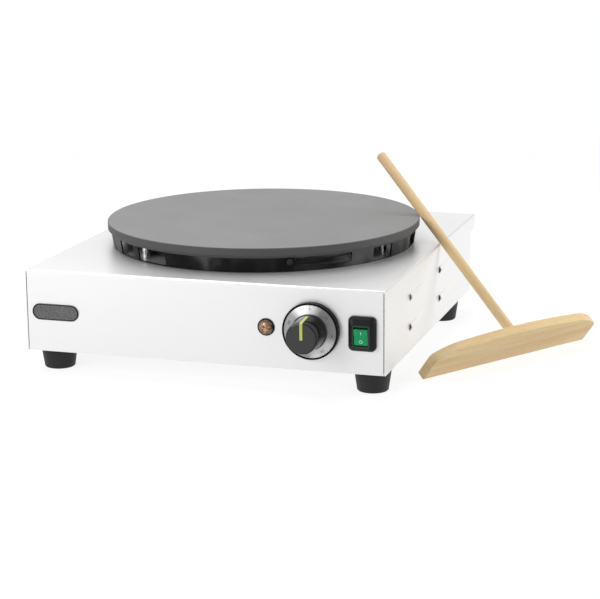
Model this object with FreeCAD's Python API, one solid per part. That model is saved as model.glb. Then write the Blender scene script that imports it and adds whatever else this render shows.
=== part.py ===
"""Electric crepe maker: a round cast plate on a folded stainless housing, and a spreader leaning on it.

Millimetres. X is right, Y to the rear, Z up. The origin is on the counter, under the housing's middle.
"""
import FreeCAD, Part

import math
import os

V = FreeCAD.Vector
X_AXIS = V(1, 0, 0)
Y_AXIS = V(0, 1, 0)
Z_AXIS = V(0, 0, 1)
ORIGIN = V(0, 0, 0)

# Driving sizes
WIDTH = 450.0
DEPTH = 480.0
BOX_HEIGHT = 100.0
FOOT_HEIGHT = 28.0
SHEET = 1.5
BEND_RADIUS = 2.0
PLATE_RADIUS = 200.0
PLATE_EDGE = 13.0
SKIRT_HEIGHT = 18.0
REAR_LIP_DEPTH = 28.0
REAR_LIP_DROP = 20.5

# Levels and faces worked out from them
SIDE = WIDTH / 2
FRONT = -DEPTH / 2
REAR = DEPTH / 2
BOX_BOTTOM = FOOT_HEIGHT
BOX_TOP = FOOT_HEIGHT + BOX_HEIGHT
SHEET_UNDERSIDE = BOX_TOP - SHEET
PLATE_UNDERSIDE = BOX_TOP + SKIRT_HEIGHT
PLATE_TOP = PLATE_UNDERSIDE + PLATE_EDGE
INNER_FRONT = FRONT + SHEET
INNER_SIDE = SIDE - SHEET
REAR_FACE = REAR - REAR_LIP_DEPTH
FLOOR_TOP = BOX_BOTTOM + SHEET
FLANGE = 12.0
CORNER_GAP = 1.0

# Feet
FOOT_TOP_RADIUS = 22.7
FOOT_BOTTOM_RADIUS = 18.7
FOOT_SIDE_INSET = 25.0
FOOT_FRONT_INSET = 37.3
FOOT_REAR_INSET = 87.8
FOOT_X = SIDE - FOOT_SIDE_INSET
FOOT_FRONT_Y = FRONT + FOOT_FRONT_INSET
FOOT_REAR_Y = REAR - FOOT_REAR_INSET
FOOT_SCREW_RADIUS = 2.5
FOOT_BORE_RADIUS = 5.2
FOOT_BORE_DEPTH = 14.0
FOOT_SCREW_LENGTH = 21.0
FOOT_NUT_HEIGHT = 4.0

# Small fixings
SCREW_RADIUS = 2.0
SCREW_HOLE_RADIUS = 2.1
SCREW_HEAD_RADIUS = 3.8
FIT_GAP = 0.3
TAB_WIDTH = 6.3
TAB_THICKNESS = 0.8
TAB_LENGTH = 8.0

# Controls on the front, left to right
CONTROL_LEVEL = 77.0
BADGE_X = -186.0
LAMP_X = 81.4
DIAL_X = 137.0
SWITCH_X = 198.0

BADGE_LENGTH = 60.0
BADGE_HEIGHT = 20.0
BADGE_THICKNESS = 1.2

LAMP_BODY_RADIUS = 7.4
LAMP_BODY_DEPTH = 32.0
LAMP_BEZEL_RADIUS = 10.3
LAMP_LENS_RADIUS = 9.1
LAMP_LENS_HEIGHT = 5.6

DIAL_RADIUS = 33.7
DIAL_HEIGHT = 9.0
DIAL_WALL = 2.2
SCALE_THICKNESS = 8.2
KNOB_BASE_RADIUS = 21.3
KNOB_FACE_RADIUS = 18.3
KNOB_GAP = 1.6
KNOB_SKIRT = 2.6
KNOB_REACH = 42.5
POINTER_WIDTH = 3.4
POINTER_START = 18.0
POINTER_PROUD = 0.4
SPINDLE_RADIUS = 3.0
BUSHING_RADIUS = 4.9
THERMOSTAT_HALF = 17.0
THERMOSTAT_BACK = FRONT + 34.0
RUNNING_CLEARANCE = 0.05
GLUE_GAP = 0.02

SWITCH_WIDTH = 22.0
SWITCH_HEIGHT = 30.0
SWITCH_BACK = FRONT + 28.0
BOOT_WIDTH = 33.0
BOOT_HEIGHT = 41.0
BOOT_REACH = 9.0
ROCKER_WIDTH = 16.4
ROCKER_HEIGHT = 19.6
ROCKER_REACH = 10.0
ROCKER_DROP = 2.0
ROCKER_SWING = 12.0
PIN_RADIUS = 1.0

# Fixings of the plate
STUD_CIRCLE = 170.0
STUD_RADIUS = 3.0
SPACER_RADIUS = 5.0
STUD_AZIMUTHS = (-41.4, 78.6, 198.6)
SKIRT_TOP_RADIUS = 196.0
SKIRT_BOTTOM_RADIUS = 193.3
SKIRT_WALL = 2.0
SKIRT_SCREW_AZIMUTHS = (27.2, 147.2, 267.2)
SKIRT_SCREW_LEVEL = PLATE_UNDERSIDE - 4.8

# Gaps in the skirt: middle azimuth, width in degrees, height of the sill. The rear repeats the front.
SKIRT_GAPS = (
    (-42.4, 10.4, 1.5),
    (-26.6, 14.4, 1.5),
    (40.1, 22.0, 6.0),
    (66.7, 10.6, 1.5),
    (93.0, 10.0, 1.5),
)

# Heating pack between the plate and the housing
ELEMENT_TUBE_RADIUS = 4.2
INNER_ELEMENT_RADIUS = 75.0
OUTER_ELEMENT_RADIUS = 135.0
ELEMENT_LEG_X = 12.0
ELEMENT_BEND = 9.0
ELEMENT_PIN_RADIUS = 1.5
ELEMENT_TIP = SHEET_UNDERSIDE - 22
REFLECTOR_RADIUS = 158.0
PAD_RADIUS = 150.0
PAD_THICKNESS = 6.5
CLAMP_RADIUS = 152.0
CLAMP_BOLT_RADIUS = 4.0
LEG_HOLE_RADIUS = 8.0
PAD_HOLE_RADIUS = 8.0
CLAMP_HOLE_RADIUS = 11.5
PACK_GAP = 0.1
ELEMENT_LEVEL = PLATE_UNDERSIDE - ELEMENT_TUBE_RADIUS - PACK_GAP
CLAMP_TOP = ELEMENT_LEVEL - ELEMENT_TUBE_RADIUS - PACK_GAP
BULB_RADIUS = 3.1
BULB_LENGTH = 60.0
BULB_Y = -105.0
BULB_LEVEL = PLATE_UNDERSIDE - BULB_RADIUS - PACK_GAP
CAPILLARY_RADIUS = 1.0
CAPILLARY_HOLE_RADIUS = 4.0
CAPILLARY_X = 46.0

# Louvers pressed out of both sides
LOUVER_LENGTH = 74.0
LOUVER_HEIGHT = 10.5
LOUVER_REACH = 3.4
LOUVER_LEVELS = (58.5, 95.2)
LOUVER_FRONTS = (-126.5, 27.0)
LOUVER_SKIN = 1.1
LOUVER_TAIL = 0.6
LOUVER_OPEN_SHARE = 0.8

# Cable entry in the rear panel
GLAND_X = -150.0
GLAND_LEVEL = 62.0
GLAND_BORE_RADIUS = 4.5
GLAND_THREAD_RADIUS = 8.0
GLAND_REACH = 20.0

# Wiring inside
TERMINAL_X = -90.0
TERMINAL_Y = 170.0
TERMINAL_PITCH = 14.0
TERMINAL_SCREW_LEVEL = FLOOR_TOP + 13.0
EARTH_X = -30.0
EARTH_Y = 175.0
CUTOUT_X = 70.0
CUTOUT_Y = 60.0
WIRE_RADIUS = 1.6
WIRE_BEND = 14.0

# Wooden spreader: the middle of its lower front edge on the counter, and the way its handle points
BLADE_FOOT = V(324.0, -29.0, 0)
HANDLE_HEADING = 147.0
BLADE_LENGTH = 282.0
BLADE_HEIGHT = 54.0
BLADE_ARCH = 900.0
BLADE_SHOULDER = 80.0
BLADE_CORNER = 10.0
BLADE_CORNER_TURN = 57.0
BLADE_THICKNESS = 12.0
BLADE_EDGE = 1.2
HANDLE_RADIUS = 6.3
HANDLE_LENGTH = 324.0
HANDLE_LEVEL = 34.0
HANDLE_SOCKET = 8.0
LEAN_GAP = 1.25


def tube(base, direction, outer, inner, length):
    """A round tube from base along direction."""
    solid = Part.makeCylinder(outer, length, base, direction)
    return solid.cut(Part.makeCylinder(inner, length, base, direction))


def block(low, high):
    """A box from its lowest to its highest corner."""
    return Part.makeBox(high.x - low.x, high.y - low.y, high.z - low.z, low)


def hexagon(centre, direction, across_flats, height):
    """A hexagonal prism standing on centre."""
    corner_radius = across_flats / math.sqrt(3)
    points = []
    for corner in range(6):
        angle = math.radians(60 * corner)
        points.append(V(corner_radius * math.cos(angle), corner_radius * math.sin(angle), 0))
    face = Part.Face(Part.makePolygon(points + points[:1]))
    solid = face.extrude(V(0, 0, height))
    turn = FreeCAD.Rotation(Z_AXIS, direction)
    solid.Placement = FreeCAD.Placement(centre, turn)
    return solid


def around(radius, azimuth, level):
    """A point at an azimuth counted from the front, towards the right."""
    angle = math.radians(azimuth)
    return V(radius * math.sin(angle), -radius * math.cos(angle), level)


def outward(azimuth):
    """The direction away from the middle at an azimuth counted from the front."""
    return around(1.0, azimuth, 0.0)


def turned(profile, centre, axis):
    """A solid of revolution about an axis through centre. The profile holds (radius, height) pairs."""
    points = [V(radius, 0, along) for radius, along in profile]
    face = Part.Face(Part.makePolygon(points + points[:1]))
    solid = face.revolve(ORIGIN, Z_AXIS, 360)
    solid.Placement = FreeCAD.Placement(centre, FreeCAD.Rotation(Z_AXIS, axis))
    return solid


def rounded_outline(width, height, radius, level, middle):
    """A closed wire in a plane square to Y: a rectangle with round corners."""
    half_width = width / 2
    half_height = height / 2
    edges = []
    corner = radius * (1 - math.sqrt(0.5))
    for side in range(4):
        turn = math.radians(90 * side)
        across, up = (half_width, half_height) if side % 2 == 0 else (half_height, half_width)
        local = [
            (across, -up + radius),
            (across, up - radius),
            (across - corner, up - corner),
            (across - radius, up),
        ]
        world = []
        for u, w in local:
            x = u * math.cos(turn) - w * math.sin(turn)
            z = u * math.sin(turn) + w * math.cos(turn)
            world.append(V(middle.x + x, level, middle.z + z))
        edges.append(Part.LineSegment(world[0], world[1]).toShape())
        edges.append(Part.Arc(world[1], world[2], world[3]).toShape())
    return Part.Wire(Part.__sortEdges__(edges))


def rounded_slab(width, height, radius, front, back, middle):
    """A slab between two levels of Y with a rounded outline."""
    face = Part.Face(rounded_outline(width, height, radius, front, middle))
    return face.extrude(V(0, back - front, 0))


def rod(points, radius, bend):
    """A round rod along straight runs joined by tangent arcs."""
    edges = []
    start = points[0]
    for before, corner, after in zip(points, points[1:], points[2:]):
        way_in = (corner - before).normalize()
        way_out = (after - corner).normalize()
        half_turn = way_in.getAngle(way_out) / 2
        reach = bend * math.tan(half_turn)
        arc_start = corner - way_in * reach
        arc_end = corner + way_out * reach
        inward = (way_out - way_in).normalize()
        centre = corner + inward * (bend / math.cos(half_turn))
        middle = centre - inward * bend
        edges.append(Part.LineSegment(start, arc_start).toShape())
        edges.append(Part.Arc(arc_start, middle, arc_end).toShape())
        start = arc_end
    edges.append(Part.LineSegment(start, points[-1]).toShape())
    path = Part.Wire(edges)
    section = Part.Wire(Part.makeCircle(radius, points[0], points[1] - points[0]))
    return path.makePipeShell([section], True, False)


def mirrored(shape):
    """The same shape on the left side."""
    return shape.mirror(ORIGIN, X_AXIS)


def louver_profile(reach, half_height, level, y):
    """Half an oval standing out of the right side."""
    low = V(SIDE, y, level - half_height)
    high = V(SIDE, y, level + half_height)
    arc = Part.Arc(low, V(SIDE + reach, y, level), high).toShape()
    return Part.Wire([arc, Part.LineSegment(high, low).toShape()])


def louver_horn(reach, half_height, level, front, end_reach):
    """A scoop that is widest at its front end and runs out into the side."""
    rear = front + LOUVER_LENGTH
    mouth = louver_profile(reach, half_height, level, front)
    tail = louver_profile(end_reach, half_height * 0.8, level, rear)
    return Part.makeLoft([mouth, tail], True, True)


def add_louvers(shell):
    """Scoop louvers on both sides, open at the front end."""
    for level in LOUVER_LEVELS:
        for front in LOUVER_FRONTS:
            half_height = LOUVER_HEIGHT / 2
            horn = louver_horn(LOUVER_REACH, half_height, level, front, LOUVER_TAIL)
            inner_height = half_height - LOUVER_SKIN
            hollow = louver_horn(LOUVER_REACH - LOUVER_SKIN, inner_height, level, front, LOUVER_TAIL / 6)
            slot_end = front + LOUVER_LENGTH * LOUVER_OPEN_SHARE
            slot = block(
                V(INNER_SIDE - 1, front, level - half_height + LOUVER_SKIN),
                V(SIDE + 0.1, slot_end, level + half_height - LOUVER_SKIN),
            )
            shell = shell.fuse(horn).fuse(mirrored(horn))
            for void in (hollow, slot):
                shell = shell.cut(void).cut(mirrored(void))
    return shell


def rounded_box(low, high, radius):
    """A box whose four top edges are rounded."""
    solid = block(low, high)
    top_edges = [e for e in solid.Edges if all(abs(v.Z - high.z) < 1e-6 for v in e.Vertexes)]
    return solid.makeFillet(radius, top_edges)


def element_leg_points():
    """Where the ends of the two heating elements pass through the housing's top."""
    points = []
    for radius in (INNER_ELEMENT_RADIUS, OUTER_ELEMENT_RADIUS):
        y = math.sqrt(radius ** 2 + ELEMENT_BEND ** 2 - ELEMENT_LEG_X ** 2)
        points.append(V(-ELEMENT_LEG_X, y, 0))
        points.append(V(ELEMENT_LEG_X, y, 0))
    return points


def housing_shell():
    """Top, front, sides and rear lip, folded from one sheet, with open seams at the front corners."""
    outer = rounded_box(V(-SIDE, FRONT, BOX_BOTTOM), V(SIDE, REAR, BOX_TOP), BEND_RADIUS)
    hollow = rounded_box(
        V(-INNER_SIDE, INNER_FRONT, BOX_BOTTOM - 1),
        V(INNER_SIDE, REAR - SHEET, SHEET_UNDERSIDE),
        BEND_RADIUS - SHEET,
    )
    shell = outer.cut(hollow)
    notch = block(V(-SIDE - 1, REAR_FACE, 0), V(SIDE + 1, REAR + 1, BOX_TOP - REAR_LIP_DROP))
    shell = shell.cut(notch)
    front_flange = block(
        V(-INNER_SIDE, INNER_FRONT, FLOOR_TOP),
        V(INNER_SIDE, INNER_FRONT + FLANGE, FLOOR_TOP + SHEET),
    )
    side_flange = block(
        V(INNER_SIDE - FLANGE, INNER_FRONT, FLOOR_TOP),
        V(INNER_SIDE, REAR_FACE - 2 * SHEET, FLOOR_TOP + SHEET),
    )
    rear_flange = block(
        V(INNER_SIDE - FLANGE, REAR_FACE - 2 * SHEET, FLOOR_TOP),
        V(INNER_SIDE, REAR_FACE - SHEET, SHEET_UNDERSIDE),
    )
    for flange in (front_flange, side_flange, mirrored(side_flange), rear_flange, mirrored(rear_flange)):
        shell = shell.fuse(flange)
    seam_top = BOX_TOP - BEND_RADIUS - 0.5
    seam = block(
        V(INNER_SIDE - CORNER_GAP, FRONT - 1, BOX_BOTTOM - 1),
        V(INNER_SIDE, INNER_FRONT, seam_top),
    )
    shell = shell.cut(seam).cut(mirrored(seam))
    shell = add_louvers(shell)
    return cut_front_openings(cut_top_openings(shell))


def cut_top_openings(shell):
    """Holes in the top for the studs, the element ends and the capillary tube."""
    for azimuth in STUD_AZIMUTHS:
        base = around(STUD_CIRCLE, azimuth, SHEET_UNDERSIDE - 1)
        shell = shell.cut(Part.makeCylinder(STUD_RADIUS + 0.4, SHEET + 2, base))
    for leg in element_leg_points():
        base = V(leg.x, leg.y, SHEET_UNDERSIDE - 1)
        shell = shell.cut(Part.makeCylinder(LEG_HOLE_RADIUS, SHEET + 2, base))
    capillary_base = V(CAPILLARY_X, BULB_Y, SHEET_UNDERSIDE - 1)
    capillary_hole = Part.makeCylinder(CAPILLARY_HOLE_RADIUS, SHEET + 2, capillary_base)
    return shell.cut(capillary_hole)


def thermostat_screw_cone(x):
    """The flush head of a thermostat screw, in the front sheet."""
    head_radius = 3.6
    return Part.makeCone(head_radius, SCREW_HOLE_RADIUS, SHEET, V(x, FRONT, CONTROL_LEVEL), Y_AXIS)


def thermostat_screw_places():
    """X of the two screws that hold the thermostat."""
    return (DIAL_X - 14.0, DIAL_X + 14.0)


def cut_front_openings(shell):
    """Holes in the front for the lamp, the thermostat and the switch."""
    start = FRONT - 1
    through = SHEET + 2
    bores = [(LAMP_X, LAMP_BODY_RADIUS + FIT_GAP), (DIAL_X, BUSHING_RADIUS + FIT_GAP)]
    bores += [(x, SCREW_HOLE_RADIUS) for x in thermostat_screw_places()]
    for x, radius in bores:
        shell = shell.cut(Part.makeCylinder(radius, through, V(x, start, CONTROL_LEVEL), Y_AXIS))
    for x in thermostat_screw_places():
        shell = shell.cut(thermostat_screw_cone(x))
    half_width = SWITCH_WIDTH / 2 + 0.1
    half_height = SWITCH_HEIGHT / 2 + 0.1
    opening = block(
        V(SWITCH_X - half_width, start, CONTROL_LEVEL - half_height),
        V(SWITCH_X + half_width, start + through, CONTROL_LEVEL + half_height),
    )
    return shell.cut(opening)


def rear_panel():
    """The recessed rear wall, with vents and the hole for the cable gland."""
    panel = block(
        V(-INNER_SIDE + FIT_GAP, REAR_FACE - SHEET, FLOOR_TOP),
        V(INNER_SIDE - FIT_GAP, REAR_FACE, SHEET_UNDERSIDE - 1.0),
    )
    vent_width = 5.0
    vent_height = 44.0
    vent_pitch = 12.0
    vent_count = 14
    first_vent = V(10.0, 0, 76.0)
    for index in range(vent_count):
        middle = first_vent + X_AXIS * (vent_pitch * index)
        vent = rounded_slab(vent_width, vent_height, 2.4, REAR_FACE - SHEET - 1, REAR_FACE + 1, middle)
        panel = panel.cut(vent)
    gland_hole = Part.makeCylinder(
        GLAND_THREAD_RADIUS + 0.1, SHEET + 2, V(GLAND_X, REAR_FACE - SHEET - 1, GLAND_LEVEL), Y_AXIS
    )
    panel = panel.cut(gland_hole)
    for place in rear_screw_places():
        start = place - V(0, SHEET + 1, 0)
        panel = panel.cut(Part.makeCylinder(SCREW_HOLE_RADIUS, SHEET + 2, start, Y_AXIS))
    return panel


def rear_screw_places():
    """Where the rear panel is screwed to the shell's flanges, on its outer face."""
    x = INNER_SIDE - FLANGE / 2
    return [V(sx, REAR_FACE, z) for sx in (-x, x) for z in (44.0, 96.0)]


def rear_screws():
    """Pan-head screws of the rear panel, with the flanges tapped by their thread."""
    screws = []
    for place in rear_screw_places():
        head = Part.makeCylinder(SCREW_HEAD_RADIUS, 2.2, place, Y_AXIS)
        head = head.makeFillet(0.8, [e for e in head.Edges if e.Vertexes[0].Y > place.y + 2])
        slot = block(place + V(-3.9, 1.3, -0.45), place + V(3.9, 2.4, 0.45))
        shank = Part.makeCylinder(SCREW_RADIUS, SHEET, place - V(0, SHEET, 0), Y_AXIS)
        screws.append(head.cut(slot).fuse(shank))
    return Part.makeCompound(screws)


def base_screw_places():
    """Where the base plate is screwed to the shell's flanges, on its underside."""
    x = INNER_SIDE - FLANGE / 2
    return [V(sx, y, BOX_BOTTOM) for sx in (-x, x) for y in (-120.0, 20.0, 110.0)]


def base_plate():
    """The flat bottom, with vents under the heating pack."""
    plate = block(
        V(-INNER_SIDE + FIT_GAP, INNER_FRONT + FIT_GAP, BOX_BOTTOM),
        V(INNER_SIDE - FIT_GAP, REAR_FACE, FLOOR_TOP),
    )
    column_pitch = 95.0
    row_pitch = 26.0
    half_slot = V(35.0, 2.5, 0)
    for row in range(-3, 4):
        for column in (-1, 0, 1):
            centre = V(column * column_pitch, row * row_pitch, BOX_BOTTOM - 1)
            slot = block(centre - half_slot, centre + half_slot + V(0, 0, SHEET + 2))
            plate = plate.cut(slot)
    for place in foot_places():
        base = V(place.x, place.y, BOX_BOTTOM - 1)
        plate = plate.cut(Part.makeCylinder(FOOT_SCREW_RADIUS + 0.2, SHEET + 2, base))
    for place in base_screw_places():
        plate = plate.cut(Part.makeCylinder(SCREW_HOLE_RADIUS, SHEET + 2, place - V(0, 0, 1)))
    return plate


def base_screws():
    """Low screws of the base plate, pointing up."""
    screws = []
    head_height = 1.8
    for place in base_screw_places():
        head = Part.makeCylinder(SCREW_HEAD_RADIUS, head_height, place - V(0, 0, head_height))
        shank = Part.makeCylinder(SCREW_RADIUS, SHEET, place)
        screws.append(head.fuse(shank))
    return Part.makeCompound(screws)


def foot_places():
    """The middles of the feet, on the counter: front left, front right, rear left, rear right."""
    return [V(x, y, 0) for y in (FOOT_FRONT_Y, FOOT_REAR_Y) for x in (-FOOT_X, FOOT_X)]


def foot(place):
    """A tapered rubber foot with a deep bore for its screw."""
    profile = (
        (0, 0),
        (FOOT_BOTTOM_RADIUS - 1.2, 0),
        (FOOT_BOTTOM_RADIUS, 1.2),
        (FOOT_TOP_RADIUS, FOOT_HEIGHT),
        (0, FOOT_HEIGHT),
    )
    body = turned(profile, place, Z_AXIS)
    body = body.cut(Part.makeCylinder(FOOT_BORE_RADIUS, FOOT_BORE_DEPTH, place))
    return body.cut(Part.makeCylinder(FOOT_SCREW_RADIUS + 0.1, FOOT_HEIGHT, place))


def foot_screws():
    """One pan-head screw in each foot."""
    screws = []
    head_radius = 4.8
    head_height = 3.2
    for place in foot_places():
        head = Part.makeCylinder(head_radius, head_height, place + V(0, 0, FOOT_BORE_DEPTH - head_height))
        shank = Part.makeCylinder(FOOT_SCREW_RADIUS, FOOT_SCREW_LENGTH, place + V(0, 0, FOOT_BORE_DEPTH))
        screws.append(head.fuse(shank))
    return Part.makeCompound(screws)


def foot_nuts():
    """The nuts of the foot screws, inside the housing."""
    nuts = []
    for place in foot_places():
        base = V(place.x, place.y, FLOOR_TOP)
        nut = hexagon(base, Z_AXIS, 8.0, FOOT_NUT_HEIGHT)
        hole = Part.makeCylinder(FOOT_SCREW_RADIUS + RUNNING_CLEARANCE, FOOT_NUT_HEIGHT, base)
        nuts.append(nut.cut(hole))
    return Part.makeCompound(nuts)


def cooking_plate():
    """The cast plate: a flat top, an upright edge and a chamfer that runs in to the skirt."""
    chamfer = PLATE_RADIUS - SKIRT_TOP_RADIUS
    edge_round = 0.7
    profile = (
        (0, 0),
        (SKIRT_TOP_RADIUS, 0),
        (PLATE_RADIUS, chamfer),
        (PLATE_RADIUS, PLATE_EDGE - edge_round),
        (PLATE_RADIUS - edge_round, PLATE_EDGE),
        (0, PLATE_EDGE),
    )
    plate = turned(profile, V(0, 0, PLATE_UNDERSIDE), Z_AXIS)
    thread_depth = 9.0
    for azimuth in STUD_AZIMUTHS:
        base = around(STUD_CIRCLE, azimuth, PLATE_UNDERSIDE)
        plate = plate.cut(Part.makeCylinder(STUD_RADIUS, thread_depth, base))
    return plate.cut(Part.makeCylinder(CLAMP_BOLT_RADIUS, thread_depth, V(0, 0, PLATE_UNDERSIDE)))


def skirt_ring():
    """The black ring between the plate and the housing, with gaps that show the studs."""
    profile = (
        (SKIRT_BOTTOM_RADIUS - SKIRT_WALL, 0),
        (SKIRT_BOTTOM_RADIUS, 0),
        (SKIRT_TOP_RADIUS, SKIRT_HEIGHT),
        (SKIRT_TOP_RADIUS - SKIRT_WALL, SKIRT_HEIGHT),
    )
    ring = turned(profile, V(0, 0, BOX_TOP), Z_AXIS)
    for half in (0.0, 180.0):
        for azimuth, width, sill in SKIRT_GAPS:
            ring = ring.cut(skirt_gap(azimuth + half, width, sill))
    for azimuth in SKIRT_SCREW_AZIMUTHS:
        base = around(SKIRT_TOP_RADIUS - 10, azimuth, SKIRT_SCREW_LEVEL)
        ring = ring.cut(Part.makeCylinder(1.6, 20.0, base, outward(azimuth)))
    return ring


def skirt_gap(azimuth, width, sill):
    """The wedge that is cut out of the skirt for one gap."""
    near = SKIRT_BOTTOM_RADIUS - 12
    far = SKIRT_TOP_RADIUS + 12
    start = azimuth - width / 2
    end = azimuth + width / 2
    bottom = BOX_TOP + sill
    places = ((near, start), (far, start), (far, end), (near, end))
    corners = [around(radius, turn, bottom) for radius, turn in places]
    face = Part.Face(Part.makePolygon(corners + corners[:1]))
    return face.extrude(V(0, 0, SKIRT_HEIGHT))


def skirt_brackets():
    """Small lugs under the plate that the skirt is screwed to."""
    lugs = []
    for azimuth in SKIRT_SCREW_AZIMUTHS:
        lug = block(V(-7, -4, -4.5), V(7, 4, PLATE_UNDERSIDE - SKIRT_SCREW_LEVEL))
        hole = Part.makeCylinder(1.6, 20, V(0, -10, 0), Y_AXIS)
        lug = lug.cut(hole)
        lug.rotate(ORIGIN, Z_AXIS, azimuth)
        lug.translate(around(187.5, azimuth, SKIRT_SCREW_LEVEL))
        lugs.append(lug)
    return Part.makeCompound(lugs)


def skirt_screws():
    """Bright pan-head screws through the skirt into its lugs."""
    screws = []
    for azimuth in SKIRT_SCREW_AZIMUTHS:
        seat = around(SKIRT_TOP_RADIUS - 0.1, azimuth, SKIRT_SCREW_LEVEL)
        head = Part.makeCylinder(3.9, 2.4, seat, outward(azimuth))
        shank = Part.makeCylinder(1.5, 10.0, seat - outward(azimuth) * 10, outward(azimuth))
        screws.append(head.fuse(shank))
    return Part.makeCompound(screws)


def plate_studs():
    """Threaded studs that hold the plate to the housing's top."""
    bottom = SHEET_UNDERSIDE - 10
    length = PLATE_UNDERSIDE + 8.5 - bottom
    radius = STUD_RADIUS - RUNNING_CLEARANCE
    places = [around(STUD_CIRCLE, azimuth, bottom) for azimuth in STUD_AZIMUTHS]
    return Part.makeCompound([Part.makeCylinder(radius, length, place) for place in places])


def stud_spacers():
    """Bright tubes on the studs that carry the plate's weight."""
    spacers = []
    for azimuth in STUD_AZIMUTHS:
        base = around(STUD_CIRCLE, azimuth, BOX_TOP)
        spacers.append(tube(base, Z_AXIS, SPACER_RADIUS, STUD_RADIUS + 0.2, SKIRT_HEIGHT))
    return Part.makeCompound(spacers)


def stud_nuts():
    """Nuts under the housing's top."""
    nuts = []
    height = 5.0
    for azimuth in STUD_AZIMUTHS:
        base = around(STUD_CIRCLE, azimuth, SHEET_UNDERSIDE - height)
        nut = hexagon(base, Z_AXIS, 10.0, height)
        nuts.append(nut.cut(Part.makeCylinder(STUD_RADIUS, height, base)))
    return Part.makeCompound(nuts)


def heating_element(radius):
    """A round tubular element, open at the rear, with both ends bent down through the housing's top."""
    opening = math.asin(ELEMENT_LEG_X / math.hypot(radius, ELEMENT_BEND)) + math.atan2(ELEMENT_BEND, radius)
    drop = V(0, 0, ELEMENT_BEND)
    slack = ELEMENT_BEND * (1 - math.sqrt(0.5))
    pin_length = 8.0
    leg_bottom = ELEMENT_TIP + pin_length
    corners = []
    for side in (-1, 1):
        ring_end = V(side * radius * math.sin(opening), radius * math.cos(opening), ELEMENT_LEVEL)
        tangent = V(-side * math.cos(opening), math.sin(opening), 0)
        leg_top = ring_end + tangent * ELEMENT_BEND - drop
        bend_middle = leg_top + drop * math.sqrt(0.5) - tangent * slack
        corners.append((leg_top, bend_middle, ring_end))
    left, right = corners
    leg_drop = V(0, 0, left[0].z - leg_bottom)
    path = Part.Wire([
        Part.LineSegment(left[0] - leg_drop, left[0]).toShape(),
        Part.Arc(*left).toShape(),
        Part.Arc(left[2], V(0, -radius, ELEMENT_LEVEL), right[2]).toShape(),
        Part.Arc(right[2], right[1], right[0]).toShape(),
        Part.LineSegment(right[0], right[0] - leg_drop).toShape(),
    ])
    section = Part.Wire(Part.makeCircle(ELEMENT_TUBE_RADIUS, left[0] - leg_drop, Z_AXIS))
    element = path.makePipeShell([section], True, False)
    for leg_top in (left[0], right[0]):
        leg_end = leg_top - leg_drop
        element = element.fuse(Part.makeCylinder(ELEMENT_PIN_RADIUS, pin_length, leg_end, -Z_AXIS))
    return element


def pack_holes(radius, bottom, height):
    """The holes that the element ends and the capillary need in each layer of the pack."""
    holes = [Part.makeCylinder(radius, height, V(leg.x, leg.y, bottom)) for leg in element_leg_points()]
    holes.append(Part.makeCylinder(CAPILLARY_HOLE_RADIUS, height, V(CAPILLARY_X, BULB_Y, bottom)))
    return holes


def reflector_pan():
    """A thin dish on the housing's top that throws the heat up."""
    rim_height = 5.0
    outer = REFLECTOR_RADIUS
    inner = outer - 1
    profile = ((0, 0), (outer, 0), (outer, rim_height), (inner, rim_height), (inner, 1), (0, 1))
    pan = turned(profile, V(0, 0, BOX_TOP), Z_AXIS)
    for hole in pack_holes(LEG_HOLE_RADIUS, BOX_TOP - 1, 4):
        pan = pan.cut(hole)
    return pan


def insulation_pad():
    """A ceramic-fibre disc in the reflector pan."""
    bottom = BOX_TOP + 1
    pad = Part.makeCylinder(PAD_RADIUS, PAD_THICKNESS, V(0, 0, bottom))
    for hole in pack_holes(PAD_HOLE_RADIUS, bottom - 1, PAD_THICKNESS + 2):
        pad = pad.cut(hole)
    return pad.cut(Part.makeCylinder(11.0, PAD_THICKNESS, V(0, 0, bottom)))


def clamp_plate():
    """A steel disc that presses the elements against the cast plate."""
    bottom = CLAMP_TOP - SHEET
    plate = Part.makeCylinder(CLAMP_RADIUS, SHEET, V(0, 0, bottom))
    for hole in pack_holes(CLAMP_HOLE_RADIUS, bottom - 1, SHEET + 2):
        plate = plate.cut(hole)
    return plate.cut(Part.makeCylinder(CLAMP_BOLT_RADIUS + 0.3, SHEET, V(0, 0, bottom)))


def clamp_bolt():
    """The bolt in the middle that draws the clamp plate up."""
    seat = CLAMP_TOP - SHEET
    head_height = 5.3
    head = hexagon(V(0, 0, seat - head_height), Z_AXIS, 13.0, head_height)
    shank_length = PLATE_UNDERSIDE + 8 - seat
    shank = Part.makeCylinder(CLAMP_BOLT_RADIUS - RUNNING_CLEARANCE, shank_length, V(0, 0, seat))
    return head.fuse(shank)


def sensing_bulb():
    """The thermostat's bulb, against the underside of the plate."""
    return Part.makeCylinder(BULB_RADIUS, BULB_LENGTH, V(-BULB_LENGTH / 2, BULB_Y, BULB_LEVEL), X_AXIS)


def bulb_saddle():
    """A small block on the clamp plate that holds the bulb up."""
    block_top = BULB_LEVEL - BULB_RADIUS
    return block(V(-12, BULB_Y - 5, CLAMP_TOP), V(12, BULB_Y + 5, block_top))


def capillary_tube():
    """The thin tube from the bulb to the thermostat."""
    body_top = CONTROL_LEVEL + THERMOSTAT_HALF
    level = SHEET_UNDERSIDE - 14.5
    end_x = DIAL_X - 6
    end_y = FRONT + 22
    points = [
        V(BULB_LENGTH / 2, BULB_Y, BULB_LEVEL),
        V(CAPILLARY_X, BULB_Y, BULB_LEVEL),
        V(CAPILLARY_X, BULB_Y, level),
        V(end_x, FRONT + 75, level),
        V(end_x, end_y, level),
        V(end_x, end_y, body_top),
    ]
    return rod(points, CAPILLARY_RADIUS, 7.0)


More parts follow.
